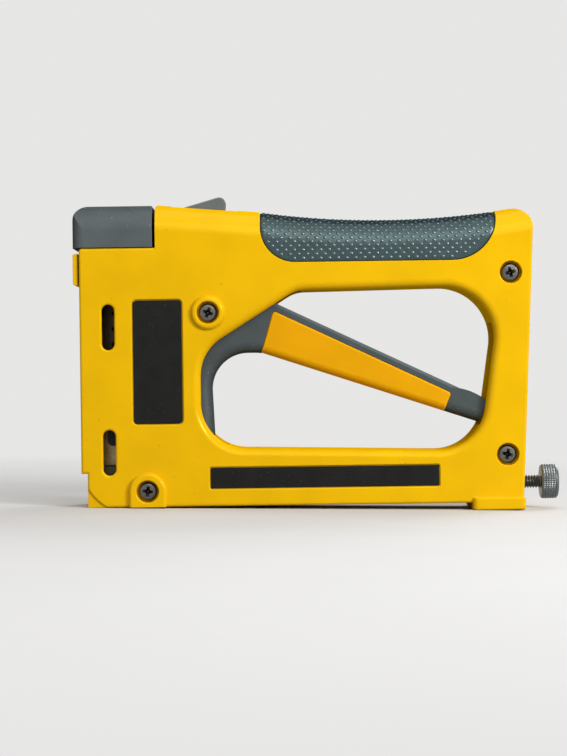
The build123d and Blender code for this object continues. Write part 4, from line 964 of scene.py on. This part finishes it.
    def skin(self, loop, sizes):
        """The pad's outer face: a rounded border that drops into its seat, and the field within."""
        points, rises = [], []
        for share in self.BORDER_STEPS:
            verge = self.inset(loop, share * sizes.pad_round)
            points += verge
            rises += [-sizes.pad_sink * (1 - math.sqrt(1 - (1 - share) ** 2))] * len(verge)
        field = self.lattice(loop, self.MESH_SPACING, sizes.pad_round + self.MESH_MARGIN)
        points += field
        rises += [0.0] * len(field)
        border = [(k, (k + 1) % len(loop)) for k in range(len(loop))]
        spread = geometry.delaunay_2d_cdt([p / MM for p in points], border, [], 1, self.MERGE)
        flat, _, faces, sources, _, _ = spread
        bm = bmesh.new()
        verts = []
        for point, source in zip(flat, sources):
            place, _ = self.place(point.x * MM, point.y * MM, rises[source[0]])
            verts.append(bm.verts.new(place))
        for face in faces:
            bm.faces.new([verts[k] for k in face])
        return mesh_from(bm, "grip_skin")

    def pip_spots(self, loop, sizes):
        """Staggered rows of pips, parallel to the pad's lower edge, up to the crest from both sides."""
        spots = []
        margin = sizes.pip_margin - self.PIP_SLACK
        count = int((self.high.x - self.low.x) / sizes.pip_pitch) + 2
        for row in range(self.PIP_ROWS):
            shift = sizes.pip_start - sizes.pip_pitch + (sizes.pip_pitch / 2 if row % 2 else 0.0)
            for k in range(count):
                x = self.low.x + shift + k * sizes.pip_pitch
                reach = self.girth_of(x, self.low.z) - sizes.pip_margin - row * sizes.pip_row
                for point in (Vector((x, -reach)), Vector((x, reach))):
                    clear = reach > sizes.pip_row / 2 and self.inside(loop, point)
                    if clear and self.border_distance(loop, point) > margin:
                        spots.append(point)
        return spots

    def pips(self, loop, sizes):
        """Round-topped pips, each a cap of a sphere with its foot sunk in the skin."""
        bm = bmesh.new()
        ball = (sizes.pip_radius ** 2 + sizes.pip_height ** 2) / (2 * sizes.pip_height)
        levels = [(sizes.pip_radius, -self.PIP_FOOT)]
        for share in self.PIP_SHARES:
            radius = share * sizes.pip_radius
            levels.append((radius, math.sqrt(ball ** 2 - radius ** 2) - ball + sizes.pip_height))
        side = Vector((1, 0, 0))
        for spot in self.pip_spots(loop, sizes):
            centre, out = self.place(spot.x, spot.y, 0.0)
            other = out.cross(side)
            skin_rings(bm, [ring(bm, centre + out * height, side, other, [radius] * self.PIP_SIDES)
                            for radius, height in levels])
        return mesh_from(bm, "grip_pips")

    def execute(self, context):
        sizes = context.scene.point_driver_sizes
        colour = context.scene.point_driver_finish.rubber
        rubber = grip_rubber("grip_rubber", colour, 0.28, 0.0)
        polished = grip_rubber("pip_rubber", colour, 0.24, 1.0)
        self.prepare()
        loop = self.outline()
        pad = self.skin(loop, sizes)
        skin = new_piece("grip_skin", pad, rubber, "housing", self.SMOOTH_ANGLE)
        thick = skin.modifiers.new("thickness", "SOLIDIFY")
        thick.thickness, thick.offset = self.THICKNESS, -1.0
        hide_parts("grip_pad")
        pips = self.pips(loop, sizes)
        new_piece("grip_pips", pips, polished, "housing", self.SMOOTH_ANGLE)
        return {"FINISHED"}


class POINT_DRIVER_OT_stage(bpy.types.Operator):
    """Set the floor, the lights and the camera"""

    bl_idname = "point_driver.stage"
    bl_label = "Stage"

    CENTRE = Vector((-0.01292, 0.0, 0.05178))
    SENSOR = 36.0
    FACE_DEPTH = 2.0 * MM
    NOSE_REST = 2.75 * MM
    REST_SPAN = 148.2 * MM
    REST_SHARE = 0.4
    FLOOR_GAP = 0.02 * MM
    FLOOR_RADIUS, FLOOR_SIDES = 1.2, 96
    FLOOR_FADE = (0.16, 0.55)
    FLOOR_PALE = (0.605, 0.602, 0.597, 1), (0.635, 0.632, 0.627, 1)
    FLOOR_LIT = (0.3, 0.298, 0.294, 1)
    BACKDROP = (1.0, 0.995, 0.985, 1.0)
    BACKDROP_STRENGTH = 0.80
    # Name, place and width of each lamp; its power is a property
    LAMPS = (
        ("key", (0.62, -0.62, 0.38), 0.3),
        ("front", (0.25, -1.05, 0.82), 0.9),
        ("fill", (-0.9, -0.9, 0.35), 0.9),
        ("top", (0.05, -0.1, 1.3), 1.4),
        ("rear", (0.7, 0.9, 0.7), 0.8),
    )

    def floor_finish(self):
        """Pale floor that fades into the backdrop and lights the tool less than it shows."""
        material, tree, surface = new_surface("pale_floor")
        place = object_place(tree)
        pale = mix_colour(tree, noise(tree, place, 40.0, 2.0), *self.FLOOR_PALE)
        shown = mix_colour(tree, background_seen(tree), self.FLOOR_LIT, pale)
        tree.links.new(shown, surface.inputs["Base Color"])
        surface.inputs["Roughness"].default_value = 0.85
        surface.inputs["Specular IOR Level"].default_value = 0.15
        away = add_node(tree, "ShaderNodeVectorMath", {0: place}, operation="LENGTH").outputs["Value"]
        fade = ramp(tree, away, self.FLOOR_FADE, WHOLE)
        clear = add_node(tree, "ShaderNodeBsdfTransparent").outputs["BSDF"]
        mixed = add_node(tree, "ShaderNodeMixShader", {0: fade, 1: surface.outputs["BSDF"], 2: clear})
        tree.links.new(mixed.outputs["Shader"], tree.nodes["Material Output"].inputs["Surface"])
        return material

    def floor(self):
        """Round floor, tipped to touch the foot and the nose that the tool stands on."""
        bm = bmesh.new()
        bmesh.ops.create_circle(bm, cap_ends=True, segments=self.FLOOR_SIDES, radius=self.FLOOR_RADIUS)
        mesh = bpy.data.meshes.new("floor")
        bm.to_mesh(mesh)
        bm.free()
        mesh.materials.append(self.floor_finish())
        floor = bpy.data.objects.new("floor", mesh)
        bpy.context.scene.collection.objects.link(floor)
        floor.rotation_euler.y = math.atan(self.NOSE_REST / self.REST_SPAN)
        floor.location = (0, 0, self.NOSE_REST * self.REST_SHARE - self.FLOOR_GAP)

    def lamp(self, name, place, width, power):
        """Round soft lamp that faces the tool."""
        data = bpy.data.lights.new(name, "AREA")
        data.shape, data.size, data.energy = "DISK", width, power
        lamp = bpy.data.objects.new(name, data)
        bpy.context.scene.collection.objects.link(lamp)
        lamp.location = place
        lamp.rotation_euler = (self.CENTRE - Vector(place)).to_track_quat("-Z", "Y").to_euler()

    def world(self, ambient):
        """Pale backdrop that lights the tool less than it shows."""
        world = bpy.data.worlds.new("studio")
        bpy.context.scene.world = world
        world.use_nodes = True
        tree = world.node_tree
        background = tree.nodes["Background"]
        strength = ramp(tree, background_seen(tree), WHOLE, (ambient, self.BACKDROP_STRENGTH))
        tree.links.new(strength, background.inputs["Strength"])
        background.inputs["Color"].default_value = self.BACKDROP

    def camera(self, view):
        """Level camera square to the near side, rolled as the picture is."""
        data = bpy.data.cameras.new("camera")
        data.sensor_width = self.SENSOR
        data.lens = self.SENSOR * view.distance / view.frame_height
        camera = bpy.data.objects.new("camera", data)
        bpy.context.scene.collection.objects.link(camera)
        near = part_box("left_housing")[0].y + self.FACE_DEPTH
        up = Vector((math.sin(view.roll), 0, math.cos(view.roll)))
        back = Vector((0, -1, 0))
        turn = Matrix((up.cross(back), up, back)).transposed()
        place = self.CENTRE + Vector((0, near - view.distance, 0))
        camera.matrix_world = Matrix.Translation(place) @ turn.to_4x4()
        bpy.context.scene.camera = camera

    def execute(self, context):
        view = context.scene.point_driver_view
        self.floor()
        self.world(view.ambient)
        for name, place, width in self.LAMPS:
            self.lamp(name, place, width, getattr(view, name + "_power"))
        self.camera(view)
        context.scene.view_settings.view_transform = "Standard"
        return {"FINISHED"}


PIECES = (
    POINT_DRIVER_OT_stage,
    POINT_DRIVER_OT_housing,
    POINT_DRIVER_OT_labels,
    POINT_DRIVER_OT_plastics,
    POINT_DRIVER_OT_mechanism,
    POINT_DRIVER_OT_liner,
    POINT_DRIVER_OT_springs,
    POINT_DRIVER_OT_screws,
    POINT_DRIVER_OT_thumbscrew,
    POINT_DRIVER_OT_grip,
)


class POINT_DRIVER_PT_panel(bpy.types.Panel):
    """Lists the pieces of the point driver"""

    bl_idname = "POINT_DRIVER_PT_panel"
    bl_label = "Point driver"
    bl_space_type = "VIEW_3D"
    bl_region_type = "UI"
    bl_category = "Point driver"

    def draw(self, context):
        for name, group in GROUPS.items():
            box = self.layout.box()
            for key in group.__annotations__:
                box.prop(getattr(context.scene, name), key)
        for piece in PIECES:
            self.layout.operator(piece.bl_idname)


CLASSES = (*GROUPS.values(), *PIECES, POINT_DRIVER_PT_panel)


def register():
    for cls in CLASSES:
        bpy.utils.register_class(cls)
    for name, group in GROUPS.items():
        setattr(bpy.types.Scene, name, bpy.props.PointerProperty(type=group))


def unregister():
    for name in GROUPS:
        delattr(bpy.types.Scene, name)
    for cls in reversed(CLASSES):
        bpy.utils.unregister_class(cls)


def main():
    register()
    bpy.ops.point_driver.stage()
    bpy.ops.point_driver.housing()
    bpy.ops.point_driver.labels()
    bpy.ops.point_driver.plastics()
    bpy.ops.point_driver.mechanism()
    bpy.ops.point_driver.liner()
    bpy.ops.point_driver.springs()
    bpy.ops.point_driver.screws()
    bpy.ops.point_driver.thumbscrew()
    bpy.ops.point_driver.grip()


if __name__ == "__main__":
    main()
